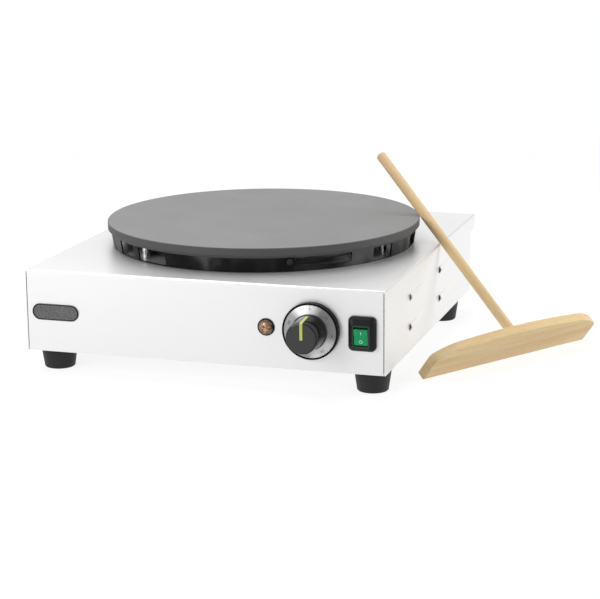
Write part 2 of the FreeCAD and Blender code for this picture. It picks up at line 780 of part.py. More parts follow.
def thermostat_body():
    """The thermostat behind the front, with its bushing through the sheet."""
    middle = V(DIAL_X, 0, CONTROL_LEVEL)
    bore_depth = 26.0
    flange_back = INNER_FRONT + 1.5
    half_flange = V(20, 0, 12)
    half_case = V(THERMOSTAT_HALF, 0, THERMOSTAT_HALF)
    flange = block(middle - half_flange + V(0, INNER_FRONT, 0), middle + half_flange + V(0, flange_back, 0))
    case = block(middle - half_case + V(0, flange_back, 0), middle + half_case + V(0, THERMOSTAT_BACK, 0))
    start = V(DIAL_X, FRONT, CONTROL_LEVEL)
    body = flange.fuse(case).fuse(Part.makeCylinder(BUSHING_RADIUS, SHEET, start, Y_AXIS))
    body = body.cut(Part.makeCylinder(SPINDLE_RADIUS + RUNNING_CLEARANCE, bore_depth, start, Y_AXIS))
    for x in thermostat_screw_places():
        screw_start = V(x, INNER_FRONT, CONTROL_LEVEL)
        body = body.cut(Part.makeCylinder(SCREW_RADIUS + RUNNING_CLEARANCE, 8.0, screw_start, Y_AXIS))
    return body


def thermostat_tabs():
    """Two brass tabs at the back of the thermostat."""
    tabs = []
    for x in (-9, 9):
        root = V(DIAL_X + x, THERMOSTAT_BACK, CONTROL_LEVEL)
        low = root - V(TAB_WIDTH / 2, 0, TAB_THICKNESS / 2)
        tabs.append(block(low, low + V(TAB_WIDTH, TAB_LENGTH, TAB_THICKNESS)))
    return Part.makeCompound(tabs)


def thermostat_screws():
    """Flush screws that hold the thermostat, hidden by the scale disc."""
    screws = []
    for x in thermostat_screw_places():
        shank = Part.makeCylinder(SCREW_RADIUS, 6.0, V(x, INNER_FRONT, CONTROL_LEVEL), Y_AXIS)
        screws.append(thermostat_screw_cone(x).fuse(shank))
    return Part.makeCompound(screws)


def dial_ring():
    """The black ring round the scale disc."""
    inner = DIAL_RADIUS - DIAL_WALL
    profile = (
        (inner, 0),
        (DIAL_RADIUS, 0),
        (DIAL_RADIUS, DIAL_HEIGHT - 0.8),
        (DIAL_RADIUS - 0.8, DIAL_HEIGHT),
        (inner + 0.4, DIAL_HEIGHT),
        (inner, DIAL_HEIGHT - 0.4),
    )
    return turned(profile, V(DIAL_X, FRONT, CONTROL_LEVEL), -Y_AXIS)


def dial_scale():
    """The brushed scale disc inside the ring."""
    outer = DIAL_RADIUS - DIAL_WALL - 0.1
    start = V(DIAL_X, FRONT, CONTROL_LEVEL)
    disc = Part.makeCylinder(outer, SCALE_THICKNESS, start, -Y_AXIS)
    return disc.cut(Part.makeCylinder(SPINDLE_RADIUS + 2, SCALE_THICKNESS, start, -Y_AXIS))


def knob_profile(grow):
    """The knob's outline as (radius, distance from the front sheet) pairs, grown outwards by grow."""
    rear = SCALE_THICKNESS + KNOB_GAP
    waist = rear + KNOB_SKIRT
    edge = 1.4
    return (
        (0, rear),
        (KNOB_BASE_RADIUS - 0.6 + grow, rear),
        (KNOB_BASE_RADIUS + grow, rear + 0.6),
        (KNOB_BASE_RADIUS + grow, waist),
        (KNOB_BASE_RADIUS - 0.9 + grow, waist + 1.2),
        (KNOB_FACE_RADIUS + 0.3 + grow, KNOB_REACH - edge),
        (KNOB_FACE_RADIUS - 0.4 + grow, KNOB_REACH - 0.4 + grow * 0.7),
        (KNOB_FACE_RADIUS - edge, KNOB_REACH + grow),
        (0, KNOB_REACH + grow),
    )


def knob():
    """The thermostat knob, bored for its spindle."""
    centre = V(DIAL_X, FRONT, CONTROL_LEVEL)
    body = turned(knob_profile(0), centre, -Y_AXIS)
    return body.cut(Part.makeCylinder(SPINDLE_RADIUS + GLUE_GAP, KNOB_REACH - 15, centre, -Y_AXIS))


def knob_pointer():
    """The coloured strip over the knob's face and side, upright at off."""
    centre = V(DIAL_X, FRONT, CONTROL_LEVEL)
    skin = turned(knob_profile(POINTER_PROUD), centre, -Y_AXIS).cut(turned(knob_profile(0), centre, -Y_AXIS))
    half = POINTER_WIDTH / 2
    strip = block(
        V(DIAL_X - half, FRONT - KNOB_REACH - 2, CONTROL_LEVEL - half),
        V(DIAL_X + half, FRONT - POINTER_START, CONTROL_LEVEL + KNOB_BASE_RADIUS + 2),
    )
    return skin.common(strip)


def knob_spindle():
    """The spindle that the knob sits on, turning in the thermostat's bushing."""
    inside = 24.0
    length = inside + KNOB_REACH - 15
    return Part.makeCylinder(SPINDLE_RADIUS, length, V(DIAL_X, FRONT + inside, CONTROL_LEVEL), -Y_AXIS)


def switch_body():
    """The switch behind the front, with a pocket for the rocker and bearings for its pin."""
    middle = V(SWITCH_X, 0, CONTROL_LEVEL)
    half_width = SWITCH_WIDTH / 2
    half_height = SWITCH_HEIGHT / 2
    lip = 1.5
    case = block(
        middle + V(-half_width, FRONT, -half_height),
        middle + V(half_width, SWITCH_BACK, half_height),
    )
    flange = block(
        middle + V(-half_width - lip, FRONT - 1.4, -half_height - lip),
        middle + V(half_width + lip, FRONT, half_height + lip),
    )
    pocket = block(
        middle + V(-ROCKER_WIDTH / 2 - 0.4, FRONT - 2, -ROCKER_HEIGHT / 2 - ROCKER_DROP - 1),
        middle + V(ROCKER_WIDTH / 2 + 0.4, FRONT + 10, ROCKER_HEIGHT / 2 - ROCKER_DROP + 1),
    )
    body = case.fuse(flange).cut(pocket)
    bearing_length = ROCKER_WIDTH + 4.4
    start = rocker_pivot() - V(bearing_length / 2, 0, 0)
    return body.cut(Part.makeCylinder(PIN_RADIUS + RUNNING_CLEARANCE, bearing_length, start, X_AXIS))


def switch_tabs():
    """Four brass tabs at the back of the switch."""
    tabs = []
    for x in (-6, 6):
        for z in (-8, 8):
            low = V(SWITCH_X + x - TAB_THICKNESS / 2, SWITCH_BACK, CONTROL_LEVEL + z - TAB_WIDTH / 2)
            tabs.append(block(low, low + V(TAB_THICKNESS, TAB_LENGTH, TAB_WIDTH)))
    return Part.makeCompound(tabs)


def rocker_pivot():
    """The middle of the rocker's pin."""
    return V(SWITCH_X, FRONT + 0.6, CONTROL_LEVEL - ROCKER_DROP)


def switch_boot():
    """The rubber boot round the rocker: a wide base that narrows to an open window."""
    middle = V(SWITCH_X, 0, CONTROL_LEVEL)
    window_middle = V(SWITCH_X, 0, CONTROL_LEVEL - ROCKER_DROP)
    base = rounded_slab(BOOT_WIDTH, BOOT_HEIGHT, 6.0, FRONT - 3.0, FRONT, middle)
    collar_wires = [
        rounded_outline(BOOT_WIDTH - 0.6, BOOT_HEIGHT - 0.6, 5.8, FRONT - 3.0, middle),
        rounded_outline(BOOT_WIDTH - 2.4, BOOT_HEIGHT - 4.0, 5.4, FRONT - 5.6, middle - V(0, 0, 0.6)),
        rounded_outline(BOOT_WIDTH - 8.0, ROCKER_HEIGHT + 7.0, 3.6, FRONT - BOOT_REACH, window_middle),
    ]
    dome = Part.makeLoft(collar_wires, True, True)
    window = block(
        window_middle + V(-ROCKER_WIDTH / 2 - 0.5, FRONT - BOOT_REACH - 1, -ROCKER_HEIGHT / 2 - 1.5),
        window_middle + V(ROCKER_WIDTH / 2 + 0.5, FRONT + 1, ROCKER_HEIGHT / 2 + 1.5),
    )
    seat = block(
        middle + V(-SWITCH_WIDTH / 2 - 1.7, FRONT - 1.6, -SWITCH_HEIGHT / 2 - 1.7),
        middle + V(SWITCH_WIDTH / 2 + 1.7, FRONT + 1, SWITCH_HEIGHT / 2 + 1.7),
    )
    return base.fuse(dome).cut(window).cut(seat)


def switch_rocker():
    """The rocker at off: its upper half stands out and its lower half is pressed in."""
    pivot = rocker_pivot()
    half = ROCKER_HEIGHT / 2
    outline = [
        V(0, -ROCKER_REACH, half),
        V(0, -ROCKER_REACH + 0.9, 0),
        V(0, -ROCKER_REACH, -half),
        V(0, -0.5, -half + 0.4),
        V(0, 5.0, -3.0),
        V(0, 5.0, 3.0),
        V(0, -0.5, half - 0.4),
    ]
    face = Part.Face(Part.makePolygon(outline + outline[:1]))
    body = face.extrude(V(ROCKER_WIDTH, 0, 0))
    body.translate(V(-ROCKER_WIDTH / 2, 0, 0))
    front_edges = [e for e in body.Edges if all(v.Y < -ROCKER_REACH + 0.1 for v in e.Vertexes)]
    body = body.makeFillet(0.8, front_edges)
    pin_start = V(-ROCKER_WIDTH / 2, 0, 0)
    body = body.cut(Part.makeCylinder(PIN_RADIUS + GLUE_GAP, ROCKER_WIDTH, pin_start, X_AXIS))
    body.rotate(ORIGIN, X_AXIS, ROCKER_SWING / 2)
    body.translate(pivot)
    return body


def switch_pin():
    """The steel pin that the rocker turns on."""
    length = ROCKER_WIDTH + 3.6
    return Part.makeCylinder(PIN_RADIUS, length, rocker_pivot() - V(length / 2, 0, 0), X_AXIS)


def lamp_bezel():
    """The dark ring round the lamp's lens."""
    height = 1.8
    profile = (
        (LAMP_LENS_RADIUS + 0.1, 0),
        (LAMP_BEZEL_RADIUS, 0),
        (LAMP_BEZEL_RADIUS, height - 0.5),
        (LAMP_BEZEL_RADIUS - 0.5, height),
        (LAMP_LENS_RADIUS + 0.1, height),
    )
    return turned(profile, V(LAMP_X, FRONT, CONTROL_LEVEL), -Y_AXIS)


def lamp_lens():
    """The domed amber lens."""
    rim = 1.6
    dome = LAMP_LENS_HEIGHT - rim
    bow = (LAMP_LENS_RADIUS ** 2 + dome ** 2) / (2 * dome)
    half_way = LAMP_LENS_RADIUS / 2
    crest = V(0, 0, LAMP_LENS_HEIGHT)
    shoulder = V(half_way, 0, LAMP_LENS_HEIGHT - bow + math.sqrt(bow ** 2 - half_way ** 2))
    edge = V(LAMP_LENS_RADIUS, 0, rim)
    foot_of_edge = V(LAMP_LENS_RADIUS, 0, 0)
    edges = [
        Part.Arc(crest, shoulder, edge).toShape(),
        Part.LineSegment(edge, foot_of_edge).toShape(),
        Part.LineSegment(foot_of_edge, ORIGIN).toShape(),
        Part.LineSegment(ORIGIN, crest).toShape(),
    ]
    lens = Part.Face(Part.Wire(edges)).revolve(ORIGIN, Z_AXIS, 360)
    lens.Placement = FreeCAD.Placement(V(LAMP_X, FRONT, CONTROL_LEVEL), FreeCAD.Rotation(Z_AXIS, -Y_AXIS))
    return lens


def lamp_body():
    """The lamp's barrel behind the front."""
    barrel = Part.makeCylinder(LAMP_BODY_RADIUS, LAMP_BODY_DEPTH, V(LAMP_X, FRONT, CONTROL_LEVEL), Y_AXIS)
    tab_size = V(TAB_THICKNESS, 7.0, 4.8)
    for x in (-3, 3):
        low = V(LAMP_X + x - tab_size.x / 2, FRONT + LAMP_BODY_DEPTH, CONTROL_LEVEL - tab_size.z / 2)
        barrel = barrel.fuse(block(low, low + tab_size))
    return barrel


def lamp_nut():
    """The nut that holds the lamp from inside."""
    base = V(LAMP_X, INNER_FRONT, CONTROL_LEVEL)
    nut = hexagon(base, Y_AXIS, 19.0, 4.0)
    return nut.cut(Part.makeCylinder(LAMP_BODY_RADIUS + RUNNING_CLEARANCE, 4.0, base, Y_AXIS))


def badge_plate():
    """The blank plate at the left of the front."""
    middle = V(BADGE_X, 0, CONTROL_LEVEL)
    corner = BADGE_HEIGHT / 2 - 0.1
    return rounded_slab(BADGE_LENGTH, BADGE_HEIGHT, corner, FRONT - BADGE_THICKNESS, FRONT, middle)


def cable_gland():
    """The gland in the rear panel, bored for a supply cable."""
    start = V(GLAND_X, REAR_FACE, GLAND_LEVEL)
    collar = hexagon(start, Y_AXIS, 22.0, 6.0)
    dome = turned(
        ((0, 6.0), (10.2, 6.0), (10.2, 15.0), (8.0, GLAND_REACH), (0, GLAND_REACH)), start, Y_AXIS
    )
    thread = Part.makeCylinder(GLAND_THREAD_RADIUS, 12.0, start - V(0, 12, 0), Y_AXIS)
    bore = Part.makeCylinder(GLAND_BORE_RADIUS, GLAND_REACH + 12, start - V(0, 12, 0), Y_AXIS)
    return collar.fuse(dome).fuse(thread).cut(bore)


def gland_nut():
    """The gland's nut, inside the rear panel."""
    height = 5.0
    base = V(GLAND_X, REAR_FACE - SHEET - height, GLAND_LEVEL)
    nut = hexagon(base, Y_AXIS, 22.0, height)
    return nut.cut(Part.makeCylinder(GLAND_THREAD_RADIUS + RUNNING_CLEARANCE, height, base, Y_AXIS))


def terminal_block():
    """The three-pole terminal block on the base plate."""
    body = block(
        V(TERMINAL_X - 24, TERMINAL_Y - 11, FLOOR_TOP),
        V(TERMINAL_X + 24, TERMINAL_Y + 11, FLOOR_TOP + 18),
    )
    for pole in (-1, 0, 1):
        well = V(TERMINAL_X + pole * TERMINAL_PITCH, TERMINAL_Y, TERMINAL_SCREW_LEVEL)
        body = body.cut(Part.makeCylinder(4.0, 6.0, well))
    return body


def terminal_screws():
    """The screws in the wells of the terminal block."""
    screws = []
    for pole in (-1, 0, 1):
        well = V(TERMINAL_X + pole * TERMINAL_PITCH, TERMINAL_Y, TERMINAL_SCREW_LEVEL)
        screw = Part.makeCylinder(3.6, 3.0, well)
        slot = block(well + V(-3.7, -0.5, 2), well + V(3.7, 0.5, 4))
        screws.append(screw.cut(slot))
    return Part.makeCompound(screws)


def earth_stud():
    """The earth stud on the base plate, with its nut."""
    base = V(EARTH_X, EARTH_Y, FLOOR_TOP)
    stud = Part.makeCylinder(2.5, 16.0, base)
    return stud.fuse(hexagon(base, Z_AXIS, 8.0, 4.0))


def safety_cutout():
    """The snap-disc cut-out under the housing's top."""
    top = V(CUTOUT_X, CUTOUT_Y, SHEET_UNDERSIDE)
    body = Part.makeCylinder(8.0, 12.0, top - V(0, 0, 12))
    ear = block(top + V(-17, -5, -1.2), top + V(17, 5, 0))
    body = body.fuse(ear)
    for x in (-5, 5):
        tab = block(top + V(x - 0.4, -3.15, -20), top + V(x + 0.4, 3.15, -12))
        body = body.fuse(tab)
    return body


def wire_live():
    """Live wire from the terminal block to the switch."""
    start = V(TERMINAL_X - TERMINAL_PITCH, TERMINAL_Y - 11, FLOOR_TOP + 8)
    end = V(SWITCH_X + 6, SWITCH_BACK + TAB_LENGTH, CONTROL_LEVEL - 8)
    points = [
        start,
        V(start.x, 100, start.z),
        V(170, 20, start.z),
        V(end.x, -120, end.z - 18),
        V(end.x, -160, end.z),
        end,
    ]
    return rod(points, WIRE_RADIUS, WIRE_BEND)


def wire_neutral():
    """Neutral wire from the terminal block to the switch."""
    start = V(TERMINAL_X, TERMINAL_Y - 11, FLOOR_TOP + 8)
    end = V(SWITCH_X - 6, SWITCH_BACK + TAB_LENGTH, CONTROL_LEVEL - 8)
    level = start.z + 12
    points = [
        start,
        V(start.x, start.y - 17, start.z),
        V(start.x, start.y - 47, level),
        V(165, 35, level),
        V(end.x, -105, end.z - 10),
        V(end.x, -155, end.z),
        end,
    ]
    return rod(points, WIRE_RADIUS, WIRE_BEND)


def wire_earth():
    """Earth wire from the terminal block to the earth stud."""
    start = V(TERMINAL_X + TERMINAL_PITCH, TERMINAL_Y - 11, FLOOR_TOP + 8)
    end = V(EARTH_X - 2.5, EARTH_Y, FLOOR_TOP + 8)
    out = V(0, -18, 0)
    across = V(25, 0, 0)
    points = [start, start + out, start + out + across, V(start.x + across.x, end.y, end.z), end]
    return rod(points, WIRE_RADIUS, 6.0)


def wire_switched():
    """Wire from the switch to the thermostat."""
    start = V(SWITCH_X - 6, SWITCH_BACK + TAB_LENGTH, CONTROL_LEVEL + 8)
    end = V(DIAL_X + 9, THERMOSTAT_BACK + TAB_LENGTH, CONTROL_LEVEL)
    points = [start, V(start.x, start.y + 26, start.z), V(end.x, end.y + 24, end.z), end]
    return rod(points, WIRE_RADIUS, 10.0)


def wire_heater():
    """Wire from the thermostat to the safety cut-out."""
    start = V(DIAL_X - 9, THERMOSTAT_BACK + TAB_LENGTH, CONTROL_LEVEL)
    end = V(CUTOUT_X + 5, CUTOUT_Y, SHEET_UNDERSIDE - 20)
    points = [start, V(start.x, -120, start.z), V(end.x, 0, 70.0), V(end.x, end.y, 74.0), end]
    return rod(points, WIRE_RADIUS, WIRE_BEND)


def wire_element():
    """Wire from the safety cut-out to the inner element."""
    leg = element_leg_points()[1]
    level = CONTROL_LEVEL + 1
    start = V(CUTOUT_X - 5, CUTOUT_Y, SHEET_UNDERSIDE - 20)
    points = [start, V(start.x, start.y, level), V(leg.x, leg.y, level), V(leg.x, leg.y, ELEMENT_TIP)]
    return rod(points, WIRE_RADIUS, 10.0)


def wire_bridge():
    """Wire that joins the two elements."""
    level = CONTROL_LEVEL + 5
    inner = element_leg_points()[0]
    outer = element_leg_points()[2]
    points = [
        V(inner.x, inner.y, ELEMENT_TIP),
        V(inner.x, inner.y, level),
        V(outer.x, outer.y, level),
        V(outer.x, outer.y, ELEMENT_TIP),
    ]
    return rod(points, WIRE_RADIUS, 10.0)


def lean_angle():
    """How far the handle rises above level, in radians, so that it rests on the plate's rim."""
    heading = math.radians(HANDLE_HEADING)
    way = V(math.cos(heading), math.sin(heading), 0)
    nearest = -BLADE_FOOT.dot(way)
    offset_squared = BLADE_FOOT.dot(BLADE_FOOT) - nearest ** 2
    reach = nearest - math.sqrt(PLATE_RADIUS ** 2 - offset_squared)
    height_on_blade = HANDLE_LEVEL - HANDLE_RADIUS - LEAN_GAP
    return math.acos(height_on_blade / math.hypot(PLATE_TOP, reach)) - math.atan2(reach, PLATE_TOP)


def leaned(shape):
    """Leans a piece of the spreader, drawn with X along the blade, Y along the handle and Z up the blade."""
    shape.rotate(ORIGIN, X_AXIS, math.degrees(lean_angle()))
    shape.rotate(ORIGIN, Z_AXIS, HANDLE_HEADING - 90)
    shape.translate(BLADE_FOOT)
    return shape


def blade_outline():
    """The blade's front outline: a straight foot, upright ends, and two tangent arcs up to a low arch."""
    half = BLADE_LENGTH / 2
    turn = math.radians(90 - BLADE_CORNER_TURN)
    rounded_width = BLADE_SHOULDER * math.sin(turn) + BLADE_CORNER * (1 - math.sin(turn))
    arch_turn = math.asin((half - rounded_width) / (BLADE_ARCH - BLADE_SHOULDER))
    arch_centre = V(0, 0, BLADE_HEIGHT - BLADE_ARCH)

    def from_upright(centre, radius, angle):
        return centre + V(radius * math.sin(angle), 0, radius * math.cos(angle))

    def left(point):
        return V(-point.x, point.y, point.z)

    arch_end = from_upright(arch_centre, BLADE_ARCH, arch_turn)
    shoulder_centre = from_upright(arch_centre, BLADE_ARCH - BLADE_SHOULDER, arch_turn)
    shoulder_middle = from_upright(shoulder_centre, BLADE_SHOULDER, (arch_turn + turn) / 2)
    shoulder_end = from_upright(shoulder_centre, BLADE_SHOULDER, turn)
    corner_centre = from_upright(shoulder_centre, BLADE_SHOULDER - BLADE_CORNER, turn)
    corner_middle = from_upright(corner_centre, BLADE_CORNER, (turn + math.pi / 2) / 2)
    corner_end = from_upright(corner_centre, BLADE_CORNER, math.pi / 2)
    foot_end = V(half, 0, 0)
    edges = [
        Part.LineSegment(left(foot_end), foot_end),
        Part.LineSegment(foot_end, corner_end),
        Part.Arc(corner_end, corner_middle, shoulder_end),
        Part.Arc(shoulder_end, shoulder_middle, arch_end),
        Part.Arc(arch_end, V(0, 0, BLADE_HEIGHT), left(arch_end)),
        Part.Arc(left(arch_end), left(shoulder_middle), left(shoulder_end)),
        Part.Arc(left(shoulder_end), left(corner_middle), left(corner_end)),
        Part.LineSegment(left(corner_end), left(foot_end)),
    ]
    return Part.Wire([edge.toShape() for edge in edges])


def spreader_blade():
    """The D-shaped blade, with its long edges eased and a socket for the handle."""
    board = Part.Face(blade_outline()).extrude(V(0, BLADE_THICKNESS, 0))
    outline = [e for e in board.Edges if abs(e.Vertexes[0].Y - e.Vertexes[-1].Y) < 1]
    board = board.makeFillet(BLADE_EDGE, outline)
    socket_start = V(0, BLADE_THICKNESS - HANDLE_SOCKET, HANDLE_LEVEL)
    board = board.cut(Part.makeCylinder(HANDLE_RADIUS + GLUE_GAP, HANDLE_SOCKET + 1, socket_start, Y_AXIS))
    return leaned(board)


def spreader_handle():
    """The round handle, glued in the blade's socket and rounded at its far end."""
    start = V(0, BLADE_THICKNESS - HANDLE_SOCKET, HANDLE_LEVEL)
    stick = Part.makeCylinder(HANDLE_RADIUS, HANDLE_LENGTH - start.y, start, Y_AXIS)
    end_edge = [e for e in stick.Edges if all(v.Y > HANDLE_LENGTH - 0.1 for v in e.Vertexes)]
    return leaned(stick.makeFillet(2.5, end_edge))


def parts():
    """Every node's name and shape."""
    found = {
        "housing_shell": housing_shell(),
        "rear_panel": rear_panel(),
        "rear_screws": rear_screws(),
        "base_plate": base_plate(),
        "base_screws": base_screws(),
        "foot_screws": foot_screws(),
        "foot_nuts": foot_nuts(),
        "cooking_plate": cooking_plate(),
        "skirt_ring": skirt_ring(),
        "skirt_brackets": skirt_brackets(),
        "skirt_screws": skirt_screws(),
        "plate_studs": plate_studs(),
        "stud_spacers": stud_spacers(),
        "stud_nuts": stud_nuts(),
        "element_inner": heating_element(INNER_ELEMENT_RADIUS),
        "element_outer": heating_element(OUTER_ELEMENT_RADIUS),
        "reflector_pan": reflector_pan(),
        "insulation_pad": insulation_pad(),
        "clamp_plate": clamp_plate(),
        "clamp_bolt": clamp_bolt(),
        "sensing_bulb": sensing_bulb(),
        "bulb_saddle": bulb_saddle(),
        "capillary_tube": capillary_tube(),
        "thermostat_body": thermostat_body(),
        "thermostat_tabs": thermostat_tabs(),
        "thermostat_screws": thermostat_screws(),
        "dial_ring": dial_ring(),
        "dial_scale": dial_scale(),
        "knob": knob(),
        "knob_pointer": knob_pointer(),
        "knob_spindle": knob_spindle(),
        "switch_body": switch_body(),
        "switch_tabs": switch_tabs(),
        "switch_boot": switch_boot(),
        "switch_rocker": switch_rocker(),
        "switch_pin": switch_pin(),
        "lamp_bezel": lamp_bezel(),
        "lamp_lens": lamp_lens(),
        "lamp_body": lamp_body(),
        "lamp_nut": lamp_nut(),
        "badge_plate": badge_plate(),
        "cable_gland": cable_gland(),
        "gland_nut": gland_nut(),
        "terminal_block": terminal_block(),
        "terminal_screws": terminal_screws(),
        "earth_stud": earth_stud(),
        "safety_cutout": safety_cutout(),
        "wire_live": wire_live(),
        "wire_neutral": wire_neutral(),
        "wire_earth": wire_earth(),
        "wire_switched": wire_switched(),
        "wire_heater": wire_heater(),
        "wire_element": wire_element(),
        "wire_bridge": wire_bridge(),
        "spreader_blade": spreader_blade(),
        "spreader_handle": spreader_handle(),
    }
    corners = ("front_left", "front_right", "rear_left", "rear_right")
    for corner, place in zip(corners, foot_places()):
        found["foot_" + corner] = foot(place)
    return found


def main():
    os.makedirs("parts", exist_ok=True)
    for name, shape in parts().items():
        shape.exportStep(os.path.join("parts", name + ".step"))
        if not shape.Solids or not shape.isValid():
            print("check", name)


main()
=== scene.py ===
"""Looks of the electric crepe maker: finishes, small parts, floor, light and camera. Metres, Z up."""
import math

import bmesh
import bpy
from mathutils import Matrix, Vector


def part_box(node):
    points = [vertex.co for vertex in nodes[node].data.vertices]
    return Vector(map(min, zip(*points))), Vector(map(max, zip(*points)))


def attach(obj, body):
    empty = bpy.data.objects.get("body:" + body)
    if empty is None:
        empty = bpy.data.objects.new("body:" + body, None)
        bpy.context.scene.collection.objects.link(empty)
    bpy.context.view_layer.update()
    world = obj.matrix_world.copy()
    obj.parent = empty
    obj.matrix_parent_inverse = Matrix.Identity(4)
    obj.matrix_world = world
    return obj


MM = 0.001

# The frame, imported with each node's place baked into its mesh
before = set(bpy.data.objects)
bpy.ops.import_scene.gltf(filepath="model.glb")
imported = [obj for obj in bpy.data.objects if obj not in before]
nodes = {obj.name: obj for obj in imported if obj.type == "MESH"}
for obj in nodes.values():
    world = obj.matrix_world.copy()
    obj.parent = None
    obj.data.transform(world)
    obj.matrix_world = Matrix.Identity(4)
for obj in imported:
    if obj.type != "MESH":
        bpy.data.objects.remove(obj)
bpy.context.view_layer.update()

# Camera, fitted to the straight edges of the object
CAMERA_PLACE = Vector((748.44, -2230.96, 617.25)) * MM
CAMERA_YAW = math.radians(17.44)
CAMERA_PITCH = math.radians(13.6)
CAMERA_ROLL = math.radians(-0.54)
CAMERA_FOCAL_PIXELS = 1861.86
PICTURE_WIDTH = 600
SENSOR = 36.0

# The scale disc. Angles are clockwise from the top, in degrees, and a fan of painted highlight is an angle
# and a strength
DIAL_NUMBERS = ("0", "50", "100", "150", "200", "250", "300")
DIAL_SWEEP = 290.0
DIAL_STEP = DIAL_SWEEP / (len(DIAL_NUMBERS) - 1)
TICKS_PER_STEP = 5
PAINTED_HIGHLIGHT_FANS = ((-10.0, 1.0), (143.0, 0.8), (-80.0, 0.3))

# Places read from the frame
panel_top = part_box("housing_shell")[1].z


def middle_of(node):
    """The middle of a node's box."""
    low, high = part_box(node)
    return (low + high) / 2


dial_centre = middle_of("dial_ring")
lamp_centre = middle_of("lamp_bezel")
badge_centre = middle_of("badge_plate")
plate_centre = middle_of("cooking_plate")


def mean_of(points):
    """The mean of some vectors."""
    total = Vector()
    for point in points:
        total += point
    return total / len(points)


def spreader_axes():
    """Along the blade, along the handle and up the blade, read from the handle as it leans."""
    points = [vertex.co for vertex in nodes["spreader_handle"].data.vertices]
    level = middle_of("spreader_handle").z
    far_end = mean_of([point for point in points if point.z > level])
    near_end = mean_of([point for point in points if point.z <= level])
    along_handle = (far_end - near_end).normalized()
    along_blade = along_handle.cross(Vector((0, 0, 1))).normalized()
    return along_blade, along_handle, along_blade.cross(along_handle)


class Sketch:
    """Draws nodes in one node tree and joins their sockets."""

    def __init__(self, tree):
        self.tree = tree

    def add(self, kind, inputs=None, **settings):
        """Adds a node. A value in inputs is either a socket to join or a plain value."""
        node = self.tree.nodes.new(kind)
        for name, value in settings.items():
            setattr(node, name, value)
        for name, value in (inputs or {}).items():
            self.feed(value, node.inputs[name])
        return node

    def feed(self, value, socket):
        """Joins an output to a socket, or sets the socket's own value."""
        if isinstance(value, bpy.types.NodeSocket):
            self.tree.links.new(value, socket)
        else:
            socket.default_value = value

    def maths(self, operation, *values, clamp=False):
        """The result of a Math node."""
        node = self.add("ShaderNodeMath", operation=operation, use_clamp=clamp)
        for index, value in enumerate(values):
            self.feed(value, node.inputs[index])
        return node.outputs[0]

    def vector(self, operation, *values):
        """The result of a Vector Math node, a number or a vector."""
        node = self.add("ShaderNodeVectorMath", operation=operation)
        for index, value in enumerate(values):
            self.feed(value, node.inputs[index])
        gives_number = operation in ("DOT_PRODUCT", "LENGTH")
        return node.outputs["Value" if gives_number else "Vector"]

    def span(self, value, low, high, new_low, new_high):
        """Stretches low..high to new_low..new_high and clamps it there."""
        ends = {"From Min": low, "From Max": high, "To Min": new_low, "To Max": new_high}
        return self.add("ShaderNodeMapRange", {"Value": value, **ends}).outputs["Result"]

    def between(self, factor, first, second):
        """A colour between two colours."""
        node = self.add("ShaderNodeMix", data_type="RGBA")
        self.feed(factor, node.inputs[0])
        self.feed(first, node.inputs[6])
        self.feed(second, node.inputs[7])
        return node.outputs[2]

    def noise(self, vector, scale, detail=2.0, roughness=0.5, distortion=0.0):
        """Soft noise between 0 and 1."""
        values = {"Vector": vector, "Scale": scale, "Detail": detail}
        values.update({"Roughness": roughness, "Distortion": distortion})
        return self.add("ShaderNodeTexNoise", values).outputs[0]

    def group(self, tree, **values):
        """Places a node group and sets its inputs. Underscores in the names stand for spaces."""
        node = self.add("ShaderNodeGroup", node_tree=tree)
        for name, value in values.items():
            self.feed(value, node.inputs[name.replace("_", " ")])
        return node


def new_group(name, inputs, outputs):
    """An empty node group with named sockets. Gives its tree, drawing helper, inputs and outputs."""
    tree = bpy.data.node_groups.new(name, "ShaderNodeTree")
    kinds = {"value": "NodeSocketFloat", "vector": "NodeSocketVector", "colour": "NodeSocketColor"}
    for socket_name, kind, value in inputs:
        socket = tree.interface.new_socket(socket_name, in_out="INPUT", socket_type=kinds[kind])
        socket.default_value = value
    for socket_name, kind in outputs:
        tree.interface.new_socket(socket_name, in_out="OUTPUT", socket_type=kinds[kind])
    sketch = Sketch(tree)
    start = tree.nodes.new("NodeGroupInput")
    end = tree.nodes.new("NodeGroupOutput")
    return tree, sketch, start.outputs, end.inputs


def brushed_lines_group():
    """Fine parallel lines of brushed sheet, along Y on faces that look sideways and along X elsewhere."""
    tree, sketch, given, out = new_group(
        "Brushed lines",
        [("Length", "value", 9.0), ("Fineness", "value", 900.0)],
        [("Tone", "value"), ("Height", "value")],
    )
    place = sketch.add("ShaderNodeTexCoord").outputs["Object"]
    split = sketch.add("ShaderNodeSeparateXYZ", {0: place}).outputs
    normal = sketch.add("ShaderNodeTexCoord").outputs["Normal"]
    side = sketch.maths("ABSOLUTE", sketch.add("ShaderNodeSeparateXYZ", {0: normal}).outputs[0])
    sideways = sketch.maths("GREATER_THAN", side, 0.7)

    def stretched(scale_x, scale_y):
        """The place, scaled along X and Y as given and finely along Z."""
        scales = (scale_x, scale_y, given["Fineness"])
        parts = {index: sketch.maths("MULTIPLY", split[index], scale) for index, scale in enumerate(scales)}
        return sketch.add("ShaderNodeCombineXYZ", parts).outputs[0]

    pick = sketch.add("ShaderNodeMix", data_type="VECTOR")
    sketch.feed(sideways, pick.inputs[0])
    sketch.feed(stretched(given["Length"], given["Fineness"]), pick.inputs[4])
    sketch.feed(stretched(given["Fineness"], given["Length"]), pick.inputs[5])
    lines = sketch.noise(pick.outputs[1], 1.0, detail=3.0, roughness=0.6)
    clouds = sketch.noise(place, 7.0, detail=2.0)
    tone = sketch.maths("ADD", sketch.maths("MULTIPLY", lines, 0.7), sketch.maths("MULTIPLY", clouds, 0.3))
    sketch.feed(tone, out["Tone"])
    sketch.feed(lines, out["Height"])
    return tree


